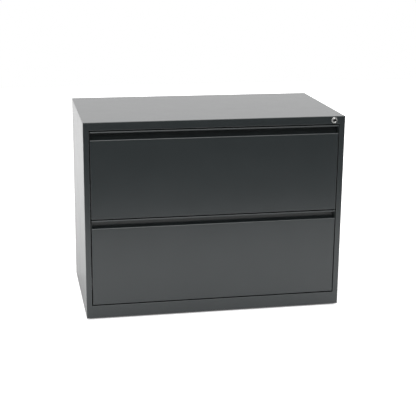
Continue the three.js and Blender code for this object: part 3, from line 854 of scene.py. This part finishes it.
@dataclass
class CaseShell:
    """Folded case: top with its header, sides with their stiles, back, base rails, pan and slide posts."""

    sheet: float = 1.0
    bend: float = 0.5
    stile: float = 19.5
    header: float = 28.0
    frame_return: float = 18.0
    return_lip: float = 9.0
    seam_flange: float = 20.0
    crown: float = 2.2
    crown_steps: int = 8
    seam: float = 0.3
    weld_sink: float = 0.05
    cut_edge: float = 0.2
    post_sheet: float = 1.5
    post_web: float = 26.0
    boss_radius: float = 9.0
    boss_height: float = 12.0
    boss_bore: float = 4.8
    boss_steps: int = 32
    ballast_draft: float = 2.0
    ballast_edge: float = 5.0

    def build(self) -> None:
        """Makes every piece of the case."""
        add_piece("top_panel", "pressing", self.top_panel())
        add_piece("back_panel", "sheet", self.back_panel(), self.cut_edge)
        add_piece("bottom_pan", "sheet", self.bottom_pan(), self.cut_edge)
        add_piece("counterweight", "casting", self.counterweight())
        for side in Side:
            add_piece(f"side_panel_{side.label}", "sheet", self.side_panel(side), self.cut_edge)
            for end in End:
                node = f"upright_{end.label}_{side.label}"
                add_piece(node, "post", self.post(node, side), self.cut_edge)
        for end in End:
            node = f"base_rail_{end.label}"
            add_piece(node, "channel", self.base_rail(node, end), self.cut_edge)

    def top_panel(self) -> Surface:
        """Works out the top: a shallow dome, its header and its flanges.

        The dome is a flat plate whose edge is rolled down through a quarter turn. With R the roll's
        radius, each point is the edge of the flat, moved by R along (sin u cos v, sin v, cos u cos v),
        where u and v run from -90 to 90 degrees across the width and the depth. The inside is the same
        with R less a sheet.

        Returns:
            The surface.
        """
        low, high = span("top_panel")
        front_y = span("side_panel_left")[0][1]
        roll = np.linspace(0, math.pi / 2, self.crown_steps + 1)
        turn = np.concatenate([-roll[::-1], roll])
        first = np.arange(len(turn)) < len(roll)
        edge_x = np.where(first, low[0] + self.crown, high[0] - self.crown)[:, None]
        edge_y = np.where(first, front_y + self.crown, high[1] - self.crown)
        u, v = turn[:, None], turn
        layers = [
            Axis.Z.points(
                edge_x + reach * np.sin(u) * np.cos(v),
                edge_y + reach * np.sin(v),
                high[2] - self.crown + reach * np.cos(u) * np.cos(v),
            )
            for reach in (self.crown, self.crown - self.sheet)
        ]
        rings = np.concatenate([layers[0], layers[1][:, ::-1]], axis=1)
        rolled = np.concatenate([turn, turn[::-1]]) != 0
        dome = Surface.tube(rings, rolled.astype(float))
        return dome + self.header_strip(front_y, high) + self.top_flanges(front_y, high)

    def header_strip(self, front_y: float, high: Array) -> Surface:
        """Works out the front of the top: straight down from the dome and back along the return.

        Args:
            front_y: Place of the cabinet's front.
            high: Highest corner of the top.

        Returns:
            The strip, with the welds at its ends.
        """
        half = self.sheet / 2
        rim, bottom = high[2] - self.crown, high[2] - self.header
        corners = [
            (front_y + half, rim),
            (front_y + half, bottom + half),
            (front_y + self.frame_return, bottom + half),
        ]
        end_x = high[0] - self.stile - self.seam
        strip = Surface.folded(corners, self.sheet, self.bend, Axis.X, -end_x, end_x)
        return strip + self.dressed_welds(bottom + self.bend + self.sheet, rim)

    def dressed_welds(self, bottom: float, top: float) -> Surface:
        """Works out the flat strips of weld that fill the joints between a cross member and the stiles.

        Each strip runs from the member's end to where the stile's rounded edge turns flat, a hair behind
        the face.

        Args:
            bottom: Lower edge of the member's face.
            top: Upper edge of the member's face.

        Returns:
            Both strips.
        """
        low, high = span("side_panel_right")
        inner_x = high[0] - self.stile - self.seam
        outer_x = high[0] - self.stile + self.bend + self.sheet
        y = low[1] + self.sheet / 2 + self.weld_sink
        welds = []
        for side in Side:
            start, end = (side.value * inner_x, y), (side.value * outer_x, y)
            welds.append(Surface.plate(start, end, self.sheet, Axis.Z, bottom, top))
        return welds[0] + welds[1]

    def top_flanges(self, front_y: float, high: Array) -> Surface:
        """Works out the seam flange behind the top and a flange inside each wall.

        Args:
            front_y: Place of the cabinet's front.
            high: Highest corner of the top.

        Returns:
            The flanges.
        """
        half = self.sheet / 2
        rim, bottom = high[2] - self.crown, high[2] - self.seam_flange
        end_x = high[0] - self.seam_flange - self.seam
        back_y = high[1] - half
        flanges = Surface.plate((back_y, rim), (back_y, bottom), self.sheet, Axis.X, -end_x, end_x)
        inner_x = high[0] - self.sheet - self.seam - half
        reach = (front_y + self.frame_return, high[1] - self.frame_return)
        for side in Side:
            x = side.value * inner_x
            flanges += Surface.plate((x, rim + half), (x, bottom), self.sheet, Axis.Y, *reach)
        return flanges

    def side_panel(self, side: Side) -> Surface:
        """Works out a side: the wall, the stile in front, the seam flange behind and a flange below.

        Args:
            side: Left or right.

        Returns:
            The surface.
        """
        low, high = span("side_panel_right")
        half = self.sheet / 2
        return_x = high[0] - self.stile + half
        return_y = low[1] + self.frame_return - half
        corners = [
            (return_x + self.return_lip, return_y),
            (return_x, return_y),
            (return_x, low[1] + half),
            (high[0] - half, low[1] + half),
            (high[0] - half, high[1] - half),
            (high[0] - self.seam_flange, high[1] - half),
        ]
        top = span("top_panel")[1][2] - self.crown - self.seam
        mirrored = [(side.value * x, y) for x, y in corners]
        wall = Surface.folded(mirrored, self.sheet, self.bend, Axis.Z, low[2], top)
        inner_x, outer_x = high[0] - self.stile + self.sheet, high[0] - self.sheet
        start, end = (side.value * inner_x, low[2] + half), (side.value * outer_x, low[2] + half)
        return wall + Surface.plate(start, end, self.sheet, Axis.Y, return_y + half, high[1] - self.sheet)

    def back_panel(self) -> Surface:
        """Works out the back of the case, with its side edges turned forward.

        Returns:
            The surface.
        """
        low, high = span("back_panel")
        half = self.sheet / 2
        edge_x, y = high[0] - half, high[1] - half
        corners = [(-edge_x, low[1]), (-edge_x, y), (edge_x, y), (edge_x, low[1])]
        return Surface.folded(corners, self.sheet, self.bend, Axis.Z, low[2], high[2])

    def bottom_pan(self) -> Surface:
        """Works out the closing pan, with its side edges turned up.

        Returns:
            The surface.
        """
        low, high = span("bottom_pan")
        half = self.sheet / 2
        edge_x, z = high[0] - half, low[2] + half
        corners = [(-edge_x, high[2]), (-edge_x, z), (edge_x, z), (edge_x, high[2])]
        return Surface.folded(corners, self.sheet, self.bend, Axis.Y, low[1], high[1])

    def counterweight(self) -> Surface:
        """Works out the ballast: a cast bar with a draft on its sides and a rounded top edge.

        It is a stack of stadium loops. Round the top edge, with E its radius and t from 0 to 90 degrees, a
        loop is drawn in by E (1 - cos t) and stands E (1 - sin t) below the top.

        Returns:
            The surface.
        """
        low, high = span("counterweight")
        middle = (low[1] + high[1]) / 2
        reach = (high[1] - low[1]) / 2
        start, end = np.array([low[0] + reach, middle]), np.array([high[0] - reach, middle])
        turn = np.linspace(0, math.pi / 2, self.crown_steps + 1)
        radii = reach - self.ballast_draft - self.ballast_edge * (1 - np.cos(turn))
        heights = high[2] - self.ballast_edge * (1 - np.sin(turn))
        levels = [(0.0, low[2]), (reach, low[2]), *zip(radii, heights), (0.0, high[2])]
        loops = [(stadium(start, end, radius, self.boss_steps // 2), z) for radius, z in levels]
        return Surface.stacked(loops, Axis.Z)

    def base_rail(self, node: str, end: End) -> Surface:
        """Works out a base rail: a channel with a bored boss for each glide.

        Args:
            node: Node that the rail replaces.
            end: Front or rear.

        Returns:
            The surface.
        """
        low, high = span(node)
        half = self.sheet / 2
        face, inner = (low[1], high[1]) if end is End.FRONT else (high[1], low[1])
        face_y = face - end.value * half
        lip_y = face - end.value * (self.frame_return - half)
        corners = [
            (inner, low[2] + half),
            (face_y, low[2] + half),
            (face_y, high[2] - half),
            (lip_y, high[2] - half),
            (lip_y, high[2] - self.return_lip),
        ]
        rail = Surface.folded(corners, self.sheet, self.bend, Axis.X, low[0], high[0])
        if end is End.FRONT:
            rail += self.dressed_welds(low[2], high[2] - self.bend - self.sheet)
        bore, rim = self.boss_bore, self.boss_radius
        bottom, top = low[2] + self.sheet, low[2] + self.boss_height
        ring = np.array([(bore, bottom), (rim, bottom), (rim, top), (bore, top)])
        for side in Side:
            foot_low, foot_high = span(f"glide_{end.label}_{side.label}")
            centre = (foot_low + foot_high)[:2] / 2
            rail += Surface.turned(ring, Axis.Z, centre, self.boss_steps, closed=True)
        return rail

    def post(self, node: str, side: Side) -> Surface:
        """Works out a post: a hat section on the wall, with its web towards the drawers.

        Args:
            node: Node that the post replaces.
            side: Left or right.

        Returns:
            The surface.
        """
        low, high = span(node)
        half = self.post_sheet / 2
        left, right = low[0] + half, high[0] - half
        foot, web = (right, left) if side is Side.RIGHT else (left, right)
        middle = (low[1] + high[1]) / 2
        near, far = middle - self.post_web / 2, middle + self.post_web / 2
        corners = [(foot, low[1]), (foot, near), (web, near), (web, far), (foot, far), (foot, high[1])]
        return Surface.folded(corners, self.post_sheet, self.bend, Axis.Z, low[2], high[2])


@dataclass
class Drawer:
    """One drawer: front with its recessed pull, liner, tray, sides and the rails for hanging folders."""

    level: Level
    sheet: float = 0.9
    bend: float = 0.5
    lip: float = 5.0
    lip_return: float = 6.0
    pull_height: float = 28.5
    pull_edge: float = 6.0
    trough: float = 12.0
    edge_bend: float = 2.2
    inner_bend: float = 1.6
    nose_bend: float = 1.4
    end_radius: float = 1.4
    end_steps: int = 6
    hem: float = 12.0
    hem_drop: float = 8.0
    rail_sheet: float = 1.2
    screw_inset: float = 60.0
    screw_rises: tuple[float, ...] = (70.0, 130.0, 190.0)
    cut_edge: float = 0.2

    def build(self) -> None:
        """Makes every piece of the drawer."""
        name = self.level.label
        add_piece(f"{name}_drawer_front", "pressing", self.front())
        add_piece(f"{name}_drawer_liner", "sheet", self.liner(), self.cut_edge)
        add_piece(f"{name}_drawer_tray", "sheet", self.tray(), self.cut_edge)
        for side in Side:
            node = f"{name}_drawer_side_{side.label}"
            add_piece(node, "sheet", self.side_wall(node, side), self.cut_edge)
        for end in End:
            node = f"{name}_hang_rail_{end.label}"
            add_piece(node, "channel", self.hang_rail(node), self.cut_edge)

    def front(self) -> Surface:
        """Works out the front: one sheet folded round the face, the pull's trough and its lip.

        The section is carried along the width. Over the last stretch at each end, with s the way into
        it, the face falls back by R - sqrt(R^2 - s^2), a quarter circle, and behind that a plate closes
        the end.

        Returns:
            The surface.
        """
        low, high = span(f"{self.level.label}_drawer_front")
        half = self.sheet / 2
        front_y, back_y = low[1], high[1]
        face_top = high[2] - self.pull_height
        floor_z = face_top - self.trough + half
        lip_z = high[2] - self.lip + half
        corners = [
            (back_y, low[2] + half),
            (front_y + half, low[2] + half),
            (front_y + half, face_top - half, self.edge_bend),
            (front_y + self.pull_edge - half, face_top - half, self.inner_bend),
            (front_y + self.pull_edge - half, floor_z),
            (back_y - half, floor_z),
            (back_y - half, high[2] - half),
            (front_y + half, high[2] - half, self.nose_bend),
            (front_y + half, lip_z, self.nose_bend),
            (front_y + self.lip_return, lip_z),
        ]
        section = Section.folded(corners, self.sheet, self.bend)
        way_in = self.end_radius * np.sin(np.linspace(0, math.pi / 2, self.end_steps + 1))
        right = high[0] - self.end_radius + way_in
        rings = section.carried(Axis.X, np.concatenate([-right[::-1], right]))
        into = np.maximum(np.abs(rings[..., 0]) - high[0] + self.end_radius, 0.0)
        fall = self.end_radius - np.sqrt(np.maximum(self.end_radius**2 - into**2, 0.0))
        behind = rings[..., 1] > front_y + self.end_radius
        limit = np.where(behind, high[0] - self.sheet, high[0])
        rings[..., 0] = np.clip(rings[..., 0], -limit, limit)
        rings[..., 1] = np.maximum(rings[..., 1], front_y + fall)
        shape = Surface.tube(rings, section.ring_bent)
        for side in Side:
            x = side.value * (high[0] - half)
            start, end = (x, front_y + self.end_radius), (x, back_y)
            shape += Surface.plate(start, end, self.sheet, Axis.Z, low[2], high[2])
        return shape

    def liner(self) -> Surface:
        """Works out the flat panel that closes the back of the front, with the screws that hold the front.

        Returns:
            The surface.
        """
        low, high = span(f"{self.level.label}_drawer_liner")
        y = (low[1] + high[1]) / 2
        panel = Surface.plate((low[0], y), (high[0], y), self.sheet, Axis.Z, low[2], high[2])
        for side in Side:
            for rise in self.screw_rises:
                seat = (side.value * (high[0] - self.screw_inset), low[2] + rise)
                panel += PanScrew().head(Axis.Y, seat, high[1], End.REAR.value)
        return panel

    def tray(self) -> Surface:
        """Works out the floor and back in one sheet, with a hem along the top of the back.

        Returns:
            The surface.
        """
        low, high = span(f"{self.level.label}_drawer_tray")
        half = self.sheet / 2
        corners = [
            (low[1], low[2] + half),
            (high[1] - half, low[2] + half),
            (high[1] - half, high[2] - half),
            (high[1] - self.hem, high[2] - half),
        ]
        return Surface.folded(corners, self.sheet, self.bend, Axis.X, low[0], high[0])

    def side_wall(self, node: str, side: Side) -> Surface:
        """Works out a side: a flange under the floor, the wall, and a hem turned in and down.

        Args:
            node: Node that the side replaces.
            side: Left or right.

        Returns:
            The surface.
        """
        low, high = span(node)
        half = self.sheet / 2
        wall = high[0] - half if side is Side.RIGHT else low[0] + half
        inner = wall - side.value * self.hem
        corners = [
            (inner, low[2] + half),
            (wall, low[2] + half),
            (wall, high[2] - half),
            (inner, high[2] - half),
            (inner, high[2] - self.hem_drop),
        ]
        return Surface.folded(corners, self.sheet, self.bend, Axis.Y, low[1], high[1])

    def hang_rail(self, node: str) -> Surface:
        """Works out a rail: an upturned channel across the drawer that folders hook onto.

        Args:
            node: Node that the rail replaces.

        Returns:
            The surface.
        """
        low, high = span(node)
        half = self.rail_sheet / 2
        near, far, top = low[1] + half, high[1] - half, high[2] - half
        corners = [(near, low[2]), (near, top), (far, top), (far, low[2])]
        return Surface.folded(corners, self.rail_sheet, self.bend, Axis.X, low[0], high[0])


class Member(Enum):
    """Channels of a telescopic slide, with their sheet and whether their web is towards the wall."""

    CABINET = ("slide_cabinet", 1.4, True)
    OUTER_CAGE = ("slide_cage_outer", 1.0, True)
    MIDDLE = ("slide_middle", 1.4, True)
    INNER_CAGE = ("slide_cage_inner", 1.0, True)
    DRAWER = ("slide_drawer", 1.4, False)


@dataclass
class TelescopicSlides:
    """Pair of three-member ball slides that carry one drawer."""

    level: Level
    bend: float = 1.0
    ball_radius: float = 1.38
    ball_pitch: float = 16.0
    ball_inset: float = 1.4
    ball_margin: float = 6.0
    screws: int = 4
    screw_margin: float = 30.0
    cut_edge: float = 0.2

    def build(self) -> None:
        """Makes every member of both slides."""
        for side in Side:
            for member in Member:
                node = f"{self.level.label}_{member.value[0]}_{side.label}"
                add_piece(node, "channel", self.channel(node, side, member), self.cut_edge)

    def channel(self, node: str, side: Side, member: Member) -> Surface:
        """Works out one member: a channel, with two rows of balls where it is a cage.

        Args:
            node: Node that the member replaces.
            side: Left or right.
            member: Which member it is.

        Returns:
            The surface.
        """
        low, high = span(node)
        _, sheet, web_to_wall = member.value
        half = sheet / 2
        web_is_high = (side is Side.RIGHT) == web_to_wall
        web, tip = (high[0] - half, low[0]) if web_is_high else (low[0] + half, high[0])
        bottom, top = low[2] + half, high[2] - half
        corners = [(tip, top), (web, top), (web, bottom), (tip, bottom)]
        shape = Surface.folded(corners, sheet, self.bend, Axis.Y, low[1], high[1])
        if member in (Member.OUTER_CAGE, Member.INNER_CAGE):
            start, end = low[1] + self.ball_margin, high[1] - self.ball_margin
            places = np.linspace(start, end, int((end - start) // self.ball_pitch) + 1)
            rows = np.array([bottom, top])
            grid = np.stack(np.meshgrid([tip + side.value * self.ball_inset], places, rows), axis=-1)
            shape += Surface.balls(grid.reshape(-1, 3), self.ball_radius)
        if member is Member.DRAWER:
            for y in np.linspace(low[1] + self.screw_margin, high[1] - self.screw_margin, self.screws):
                seat = (y, (bottom + top) / 2)
                shape += PanScrew().head(Axis.X, seat, web + side.value * half, side.value)
        return shape


@dataclass
class CamLock:
    """Cam lock: a chromed body with a rolled bezel, its plug with a warded keyway, its clip and its cam."""

    bezel_radius: float = 10.5
    bezel_proud: float = 2.5
    bezel_round: float = 1.4
    bezel_dish: float = 0.5
    body_radius: float = 9.0
    bore: float = 6.8
    plug_radius: float = 6.5
    plug_dish: float = 0.45
    chamfer: float = 0.4
    edge_round: float = 0.05
    keyway: Range = (0.75, 4.0)
    keyway_depth: float = 4.0
    keyway_power: float = 0.35
    ward: float = 0.5
    ward_waves: float = 0.75
    seam: float = 0.3
    cam_half_width: float = 4.0
    cam_thickness: float = 2.0
    pin_radius: float = 2.0
    cut_edge: float = 0.15
    steps: int = 64

    def build(self) -> None:
        """Makes the lock's body, plug, clip and cam."""
        add_piece("lock_housing", "turned", self.housing())
        add_piece("lock_plug", "turned", self.plug())
        add_piece("lock_clip", "strip", self.clip(), self.cut_edge)
        add_piece("lock_cam", "stamping", self.cam())

    def centre(self) -> Array:
        """Middle of the lock, across and up."""
        return np.mean(span("lock_housing"), axis=0)[[0, 2]]

    def housing(self) -> Surface:
        """Works out the lock body: a rounded bezel, dished towards the plug, on a plain tube.

        Returns:
            The surface.
        """
        low, high = span("lock_housing")
        face, seat, end = low[1], low[1] + self.bezel_proud, high[1]
        corners = [
            (self.bore, seat),
            (self.bore, face + self.bezel_dish),
            (self.bezel_radius - 2 * self.bezel_round, face),
            (self.bezel_radius, face, self.bezel_round),
            (self.bezel_radius, seat),
            (self.body_radius, seat),
            (self.body_radius, end),
            (self.bore, end),
        ]
        profile = Section.folded(corners, 0.0, self.edge_round).left
        return Surface.turned(profile, Axis.Y, self.centre(), self.steps, closed=True)

    def plug(self) -> Surface:
        """Works out the plug as loops from the keyway's floor, over its dished face and rim, to its tail.

        A keyway loop is a squared ellipse, a |cos t|^q by b |sin t|^q with their signs, shifted sideways
        by a sine of its height for the wards. Rim loops are circles at the same angles.

        Returns:
            The surface.
        """
        low, high = span("lock_plug")
        centre = self.centre()
        face, end = low[1], high[1]
        angles = around(self.steps)
        circle = np.stack([np.cos(angles), np.sin(angles)], axis=1)
        squared = np.sign(circle) * np.abs(circle) ** self.keyway_power * np.array(self.keyway)
        squared[:, 0] += self.ward * np.sin(2 * math.pi * self.ward_waves * squared[:, 1] / self.keyway[1])
        floor = face + self.keyway_depth
        loops = [
            (squared * 0.0, floor),
            (squared, floor),
            (squared, face + self.plug_dish),
            (circle * (self.plug_radius - self.chamfer), face),
            (circle * self.plug_radius, face + self.chamfer),
            (circle * self.plug_radius, end),
            (circle * 0.0, end),
        ]
        return Surface.stacked([(loop + centre, place) for loop, place in loops], Axis.Y)

    def clip(self) -> Surface:
        """Works out the spring clip behind the header: a strip bent round the lock body into a U.

        Returns:
            The surface.
        """
        low, high = span("lock_clip")
        centre = self.centre()
        inner = self.body_radius + self.seam
        width = high[2] - centre[1] - inner
        reach = inner + width / 2
        left, bottom, top = centre[0] - reach, centre[1] - reach, centre[1] + reach
        corners = [(high[0], top), (left, top), (left, bottom), (high[0], bottom)]
        return Surface.folded(corners, width, inner, Axis.Y, low[1], high[1])

    def cam(self) -> Surface:
        """Works out the cam: a round-ended plate from the plug to the pin, its edges broken, and the pin.

        Returns:
            The surface.
        """
        low, high = span("lock_cam")
        pin = np.array([high[0] - self.cam_half_width, low[2] + self.cam_half_width])
        front, back, tip = low[1], low[1] + self.cam_thickness, high[1]
        wide, broken = self.cam_half_width, self.cam_half_width - self.chamfer
        levels = [
            (0.0, front),
            (broken, front),
            (wide, front + self.chamfer),
            (wide, back - self.chamfer),
            (broken, back),
            (0.0, back),
        ]
        half_turn = self.steps // 2
        loops = [(stadium(self.centre(), pin, radius, half_turn), y) for radius, y in levels]
        profile = [
            (0.0, back - self.chamfer),
            (self.pin_radius, back - self.chamfer),
            (self.pin_radius, tip - self.chamfer),
            (self.pin_radius - self.chamfer, tip),
            (0.0, tip),
        ]
        return Surface.stacked(loops, Axis.Y) + Surface.turned(np.array(profile), Axis.Y, pin, half_turn)


@dataclass
class LockBar:
    """Bar beside the right wall that the cam lifts, its two guides and the catch on each drawer."""

    arm_wall: float = 3.0
    slot_radius: float = 2.5
    slot_length: float = 2.5
    strip_width: float = 13.2
    finger_gap: float = 2.0
    finger_height: float = 10.0
    finger_reach: float = 10.35
    lap: float = 0.1
    guide_sheet: float = 1.0
    hook_sheet: float = 1.5
    bend: float = 1.0
    cut_edge: float = 0.3
    steps: int = 24

    def build(self) -> None:
        """Makes the bar, its guides and the catches."""
        add_piece("lock_bar", "stamping", self.bar(), self.cut_edge)
        for level in Level:
            guide = f"lock_bar_guide_{level.label}"
            add_piece(guide, "bracket", self.guide(guide), self.cut_edge)
            hook = f"{level.label}_lock_hook"
            add_piece(hook, "bracket", self.hook(hook), self.cut_edge)

    def bar(self) -> Surface:
        """Works out the bar: an arm with a slot for the cam's pin, a strip down from it, and two fingers.

        The arm is the ring between two stadium loops, the slot's and its own. The strip and the fingers are
        thinner by the lap, so that their faces end inside the arm and the strip.

        Returns:
            The surface.
        """
        low, high = span("lock_bar")
        half = self.slot_radius + self.arm_wall
        pin = np.array([low[0] + half, high[2] - half])
        slot = stadium(pin, pin + [self.slot_length, 0.0], self.slot_radius, self.steps)
        rim = stadium(pin, np.array([high[0] - half, pin[1]]), half, self.steps)
        front, back = low[1], high[1]
        loops = [(slot, front), (rim, front), (rim, back), (slot, back)]
        shape = Surface.stacked(loops, Axis.Y, closed=True)
        middle = (front + back) / 2
        inner = high[0] - self.strip_width
        thickness = back - front - self.lap
        shape += Surface.plate((inner, middle), (high[0], middle), thickness, Axis.Z, low[2], pin[1])
        for level in Level:
            top = span(f"{level.label}_lock_hook")[0][2] - self.finger_gap
            start, end = (inner - self.finger_reach, middle), (inner + self.lap, middle)
            shape += Surface.plate(start, end, thickness - self.lap, Axis.Z, top - self.finger_height, top)
        return shape

    def guide(self, node: str) -> Surface:
        """Works out a bracket on the wall, folded to a channel that the bar runs in.

        Args:
            node: Node that the bracket replaces.

        Returns:
            The surface.
        """
        low, high = span(node)
        half = self.guide_sheet / 2
        web, front, back = high[0] - half, low[1] + half, high[1] - half
        corners = [(low[0], front), (web, front), (web, back), (low[0], back)]
        return Surface.folded(corners, self.guide_sheet, self.bend, Axis.Z, low[2], high[2])

    def hook(self, node: str) -> Surface:
        """Works out a catch on a drawer's side, folded out in front of the bar's finger.

        Args:
            node: Node that the catch replaces.

        Returns:
            The surface.
        """
        low, high = span(node)
        half = self.hook_sheet / 2
        wall, front = low[0] + half, low[1] + half
        corners = [(wall, high[1]), (wall, front), (high[0], front)]
        return Surface.folded(corners, self.hook_sheet, self.bend, Axis.Z, low[2], high[2])


@dataclass
class LevellingGlides:
    """Four feet on threaded stems under the base rails."""

    foot_radius: float = 16.0
    foot_round: float = 1.6
    seam: float = 0.3
    stem_radius: float = 4.5
    thread_pitch: float = 1.5
    thread_depth: float = 0.7
    rows_per_turn: int = 8
    steps: int = 40

    def build(self) -> None:
        """Makes all the glides."""
        for end in End:
            for side in Side:
                node = f"glide_{end.label}_{side.label}"
                add_piece(node, "turned", self.glide(node))

    def glide(self, node: str) -> Surface:
        """Works out a foot and its stem as one run of loops from the floor to the stem's tip.

        Along the stem the radius is r - d / 2 (1 - cos(2 pi z / p - a)) at angle a and height z, a thread
        of pitch p and depth d.

        Args:
            node: Node that the glide replaces.

        Returns:
            The surface.
        """
        low, high = span(node)
        centre = (low + high) / 2
        foot_top = span("base_rail_front")[0][2] - self.seam
        corners = [
            (0.0, low[2]),
            (self.foot_radius, low[2], self.foot_round),
            (self.foot_radius, foot_top, self.foot_round),
            (self.stem_radius, foot_top),
        ]
        foot = Section.folded(corners, 0.0, 0.0).left
        rows = int((high[2] - foot_top) / self.thread_pitch * self.rows_per_turn)
        stem = np.stack([np.full(rows, self.stem_radius), np.linspace(foot_top, high[2], rows)], axis=1)
        profile = np.concatenate([foot, stem, [(0.0, high[2])]])
        heights = profile[:, 1:]
        angles = around(self.steps)
        cut = self.thread_depth / 2 * (1 - np.cos(2 * math.pi * heights / self.thread_pitch - angles))
        radii = np.repeat(profile[:, :1], self.steps, axis=1)
        radii[len(foot) : -1] -= cut[len(foot) : -1]
        across, along = centre[0] + radii * np.cos(angles), centre[1] + radii * np.sin(angles)
        return Surface.lattice(Axis.Z.points(across, along, heights))


@dataclass
class Studio:
    """Camera, pale floor and soft surround: bright behind, above and beside the cabinet, dim in front."""

    camera_place: Triple = (-714.0, -3676.0, 1354.0)
    yaw: float = math.radians(11.32)
    pitch: float = math.radians(15.46)
    roll: float = math.radians(0.57)
    focal_pixels: float = 1040.3
    frame_pixels: float = 416.0
    sensor: float = 36.0
    floor_front: float = -1500.0
    floor_back: float = 5000.0
    floor_half_width: float = 4000.0
    floor_albedo: float = 0.75
    # Painted light on the floor, standing for lamps, and the edge of its painted shadow under the cabinet
    floor_glow: float = 0.05
    floor_front_glow: float = 0.14
    floor_front_reach: float = 508.0
    floor_far_glow: float = 0.22
    floor_far_reach: float = 2540.0
    floor_lift: float = 0.5
    floor_shadow_edge: Range = (-18.0, -4.0)
    surround: float = 0.95
    overhead: float = 0.3
    overhead_edge: Range = (0.25, 0.9)
    front: float = 0.02
    front_edge: Range = (0.35, 0.8)
    key: float = 2.9
    key_heading: Triple = (-0.1, -0.7, 0.707)
    key_edge: Range = (0.84, 0.96)

    def build(self) -> None:
        """Sets up the camera, the floor, the surround and the plain picture."""
        self.add_camera()
        self.add_floor()
        self.add_surround()
        settings = bpy.context.scene.view_settings
        settings.view_transform = "Standard"
        settings.look = "None"

    def add_camera(self) -> None:
        """Places the camera by its heading, its tilt and its roll."""
        level = Vector((math.cos(self.yaw), -math.sin(self.yaw), 0.0))
        ahead = Vector((math.sin(self.yaw), math.cos(self.yaw), 0.0)) * math.cos(self.pitch)
        ahead.z = -math.sin(self.pitch)
        upright = level.cross(ahead)
        right = level * math.cos(self.roll) + upright * math.sin(self.roll)
        up = upright * math.cos(self.roll) - level * math.sin(self.roll)
        lens = bpy.data.cameras.new("photo_camera")
        lens.sensor_width = self.sensor
        lens.lens = self.focal_pixels * self.sensor / self.frame_pixels
        camera = bpy.data.objects.new("photo_camera", lens)
        turn = Matrix((right, up, -ahead)).transposed()
        camera.matrix_world = Matrix.Translation(Vector(self.camera_place) * MM) @ turn.to_4x4()
        bpy.context.scene.collection.objects.link(camera)
        bpy.context.scene.camera = camera

    def add_floor(self) -> None:
        """Lays a pale floor that ends in front of the cabinet, just outside the picture."""
        half = self.floor_half_width
        corners = [
            (-half, self.floor_front, 0.0),
            (half, self.floor_front, 0.0),
            (half, self.floor_back, 0.0),
            (-half, self.floor_back, 0.0),
        ]
        mesh = bpy.data.meshes.new("studio_floor")
        mesh.from_pydata((np.array(corners) * MM).tolist(), [], [(0, 1, 2, 3)])
        paper = bpy.data.materials.new("pale_studio_floor")
        paper.use_nodes = True
        graph = Graph(paper.node_tree)
        matt = graph.node("ShaderNodeBsdfDiffuse", inputs={"Color": (*[self.floor_albedo] * 3, 1.0)})
        lift = graph.node("ShaderNodeEmission", inputs={"Color": self.floor_light(graph), "Strength": 1.0})
        both = graph.node("ShaderNodeAddShader", inputs={0: matt, 1: lift})
        graph.node("ShaderNodeOutputMaterial", inputs={"Surface": both})
        mesh.materials.append(paper)
        floor = bpy.data.objects.new("studio_floor", mesh)
        bpy.context.scene.collection.objects.link(floor)

    def floor_light(self, graph: Graph) -> Signal:
        """Works out the floor's glow: painted light that stands for lamps on the paper, with a painted
        shadow where it stops under the cabinet, and a lift that only the camera sees.

        Args:
            graph: Graph of the floor's material.

        Returns:
            Strength of the light.
        """
        half_width, half_depth, _ = cad_box[1]
        where = graph.place()
        across, along = graph.coordinate(where, "X"), graph.coordinate(where, "Y")
        beside = graph.math("ABSOLUTE", across, 0.0) - half_width
        before = graph.math("ABSOLUTE", along, 0.0) - half_depth
        inner, outer = self.floor_shadow_edge
        # Painted shadow: the glow fades out under the cabinet
        outside_painted_shadow = graph.math("MAXIMUM", beside, before).smooth(inner * MM, outer * MM)
        front = (along * -1.0).smooth(half_depth, self.floor_front_reach * MM)
        far = along.smooth(half_depth, self.floor_far_reach * MM)
        # Painted light for lamps, brighter in front of and behind the cabinet
        lamps = self.floor_glow + self.floor_front_glow * front + self.floor_far_glow * far
        return (lamps + self.floor_lift * graph.seen()) * outside_painted_shadow

    def add_surround(self) -> None:
        """Lights the scene from all round by direction, with white behind it in the picture."""
        world = bpy.data.worlds.new("soft_surround")
        world.use_nodes = True
        graph = Graph(world.node_tree)
        heading = graph.node("ShaderNodeTexCoord", output="Generated")
        above = graph.coordinate(heading, "Z").smooth(*self.overhead_edge)
        front = (graph.coordinate(heading, "Y") * -1.0).smooth(*self.front_edge)
        aim = {0: heading, 1: self.key_heading}
        towards = graph.node("ShaderNodeVectorMath", {"operation": "DOT_PRODUCT"}, aim, "Value")
        bright = self.surround + self.overhead * above
        light = bright * (1 - front) + self.front * front + self.key * towards.smooth(*self.key_edge)
        seen = graph.seen()
        shown = seen + (1 - seen) * light
        sky = graph.node("ShaderNodeBackground", inputs={"Color": (1.0, 1.0, 1.0, 1.0), "Strength": shown})
        graph.node("ShaderNodeOutputWorld", inputs={"Surface": sky})
        bpy.context.scene.world = world


class Assembly(Protocol):
    """Whatever builds its own pieces."""

    def build(self) -> None:
        """Makes the pieces."""


def dress_frame() -> None:
    """Gives every node of the frame the finish of its slot, under the piece that stands for it."""
    for node, slot in SLOT_OF.items():
        frame["nodes"][node].material_slots[0].material = FINISHES[slot].material()


def assemblies() -> Iterator[Assembly]:
    """Lists what is built.

    Yields:
        The cabinet's sub-assemblies in the order that they are made, then the studio.
    """
    yield CaseShell()
    yield CamLock()
    yield LockBar()
    yield LevellingGlides()
    for level in Level:
        yield Drawer(level)
        yield TelescopicSlides(level)
    yield Studio()


def main() -> None:
    """Builds the dressed cabinet and its studio."""
    logging.basicConfig(level=logging.INFO, format="%(message)s")
    dress_frame()
    for assembly in assemblies():
        assembly.build()


if __name__ == "__main__":
    main()
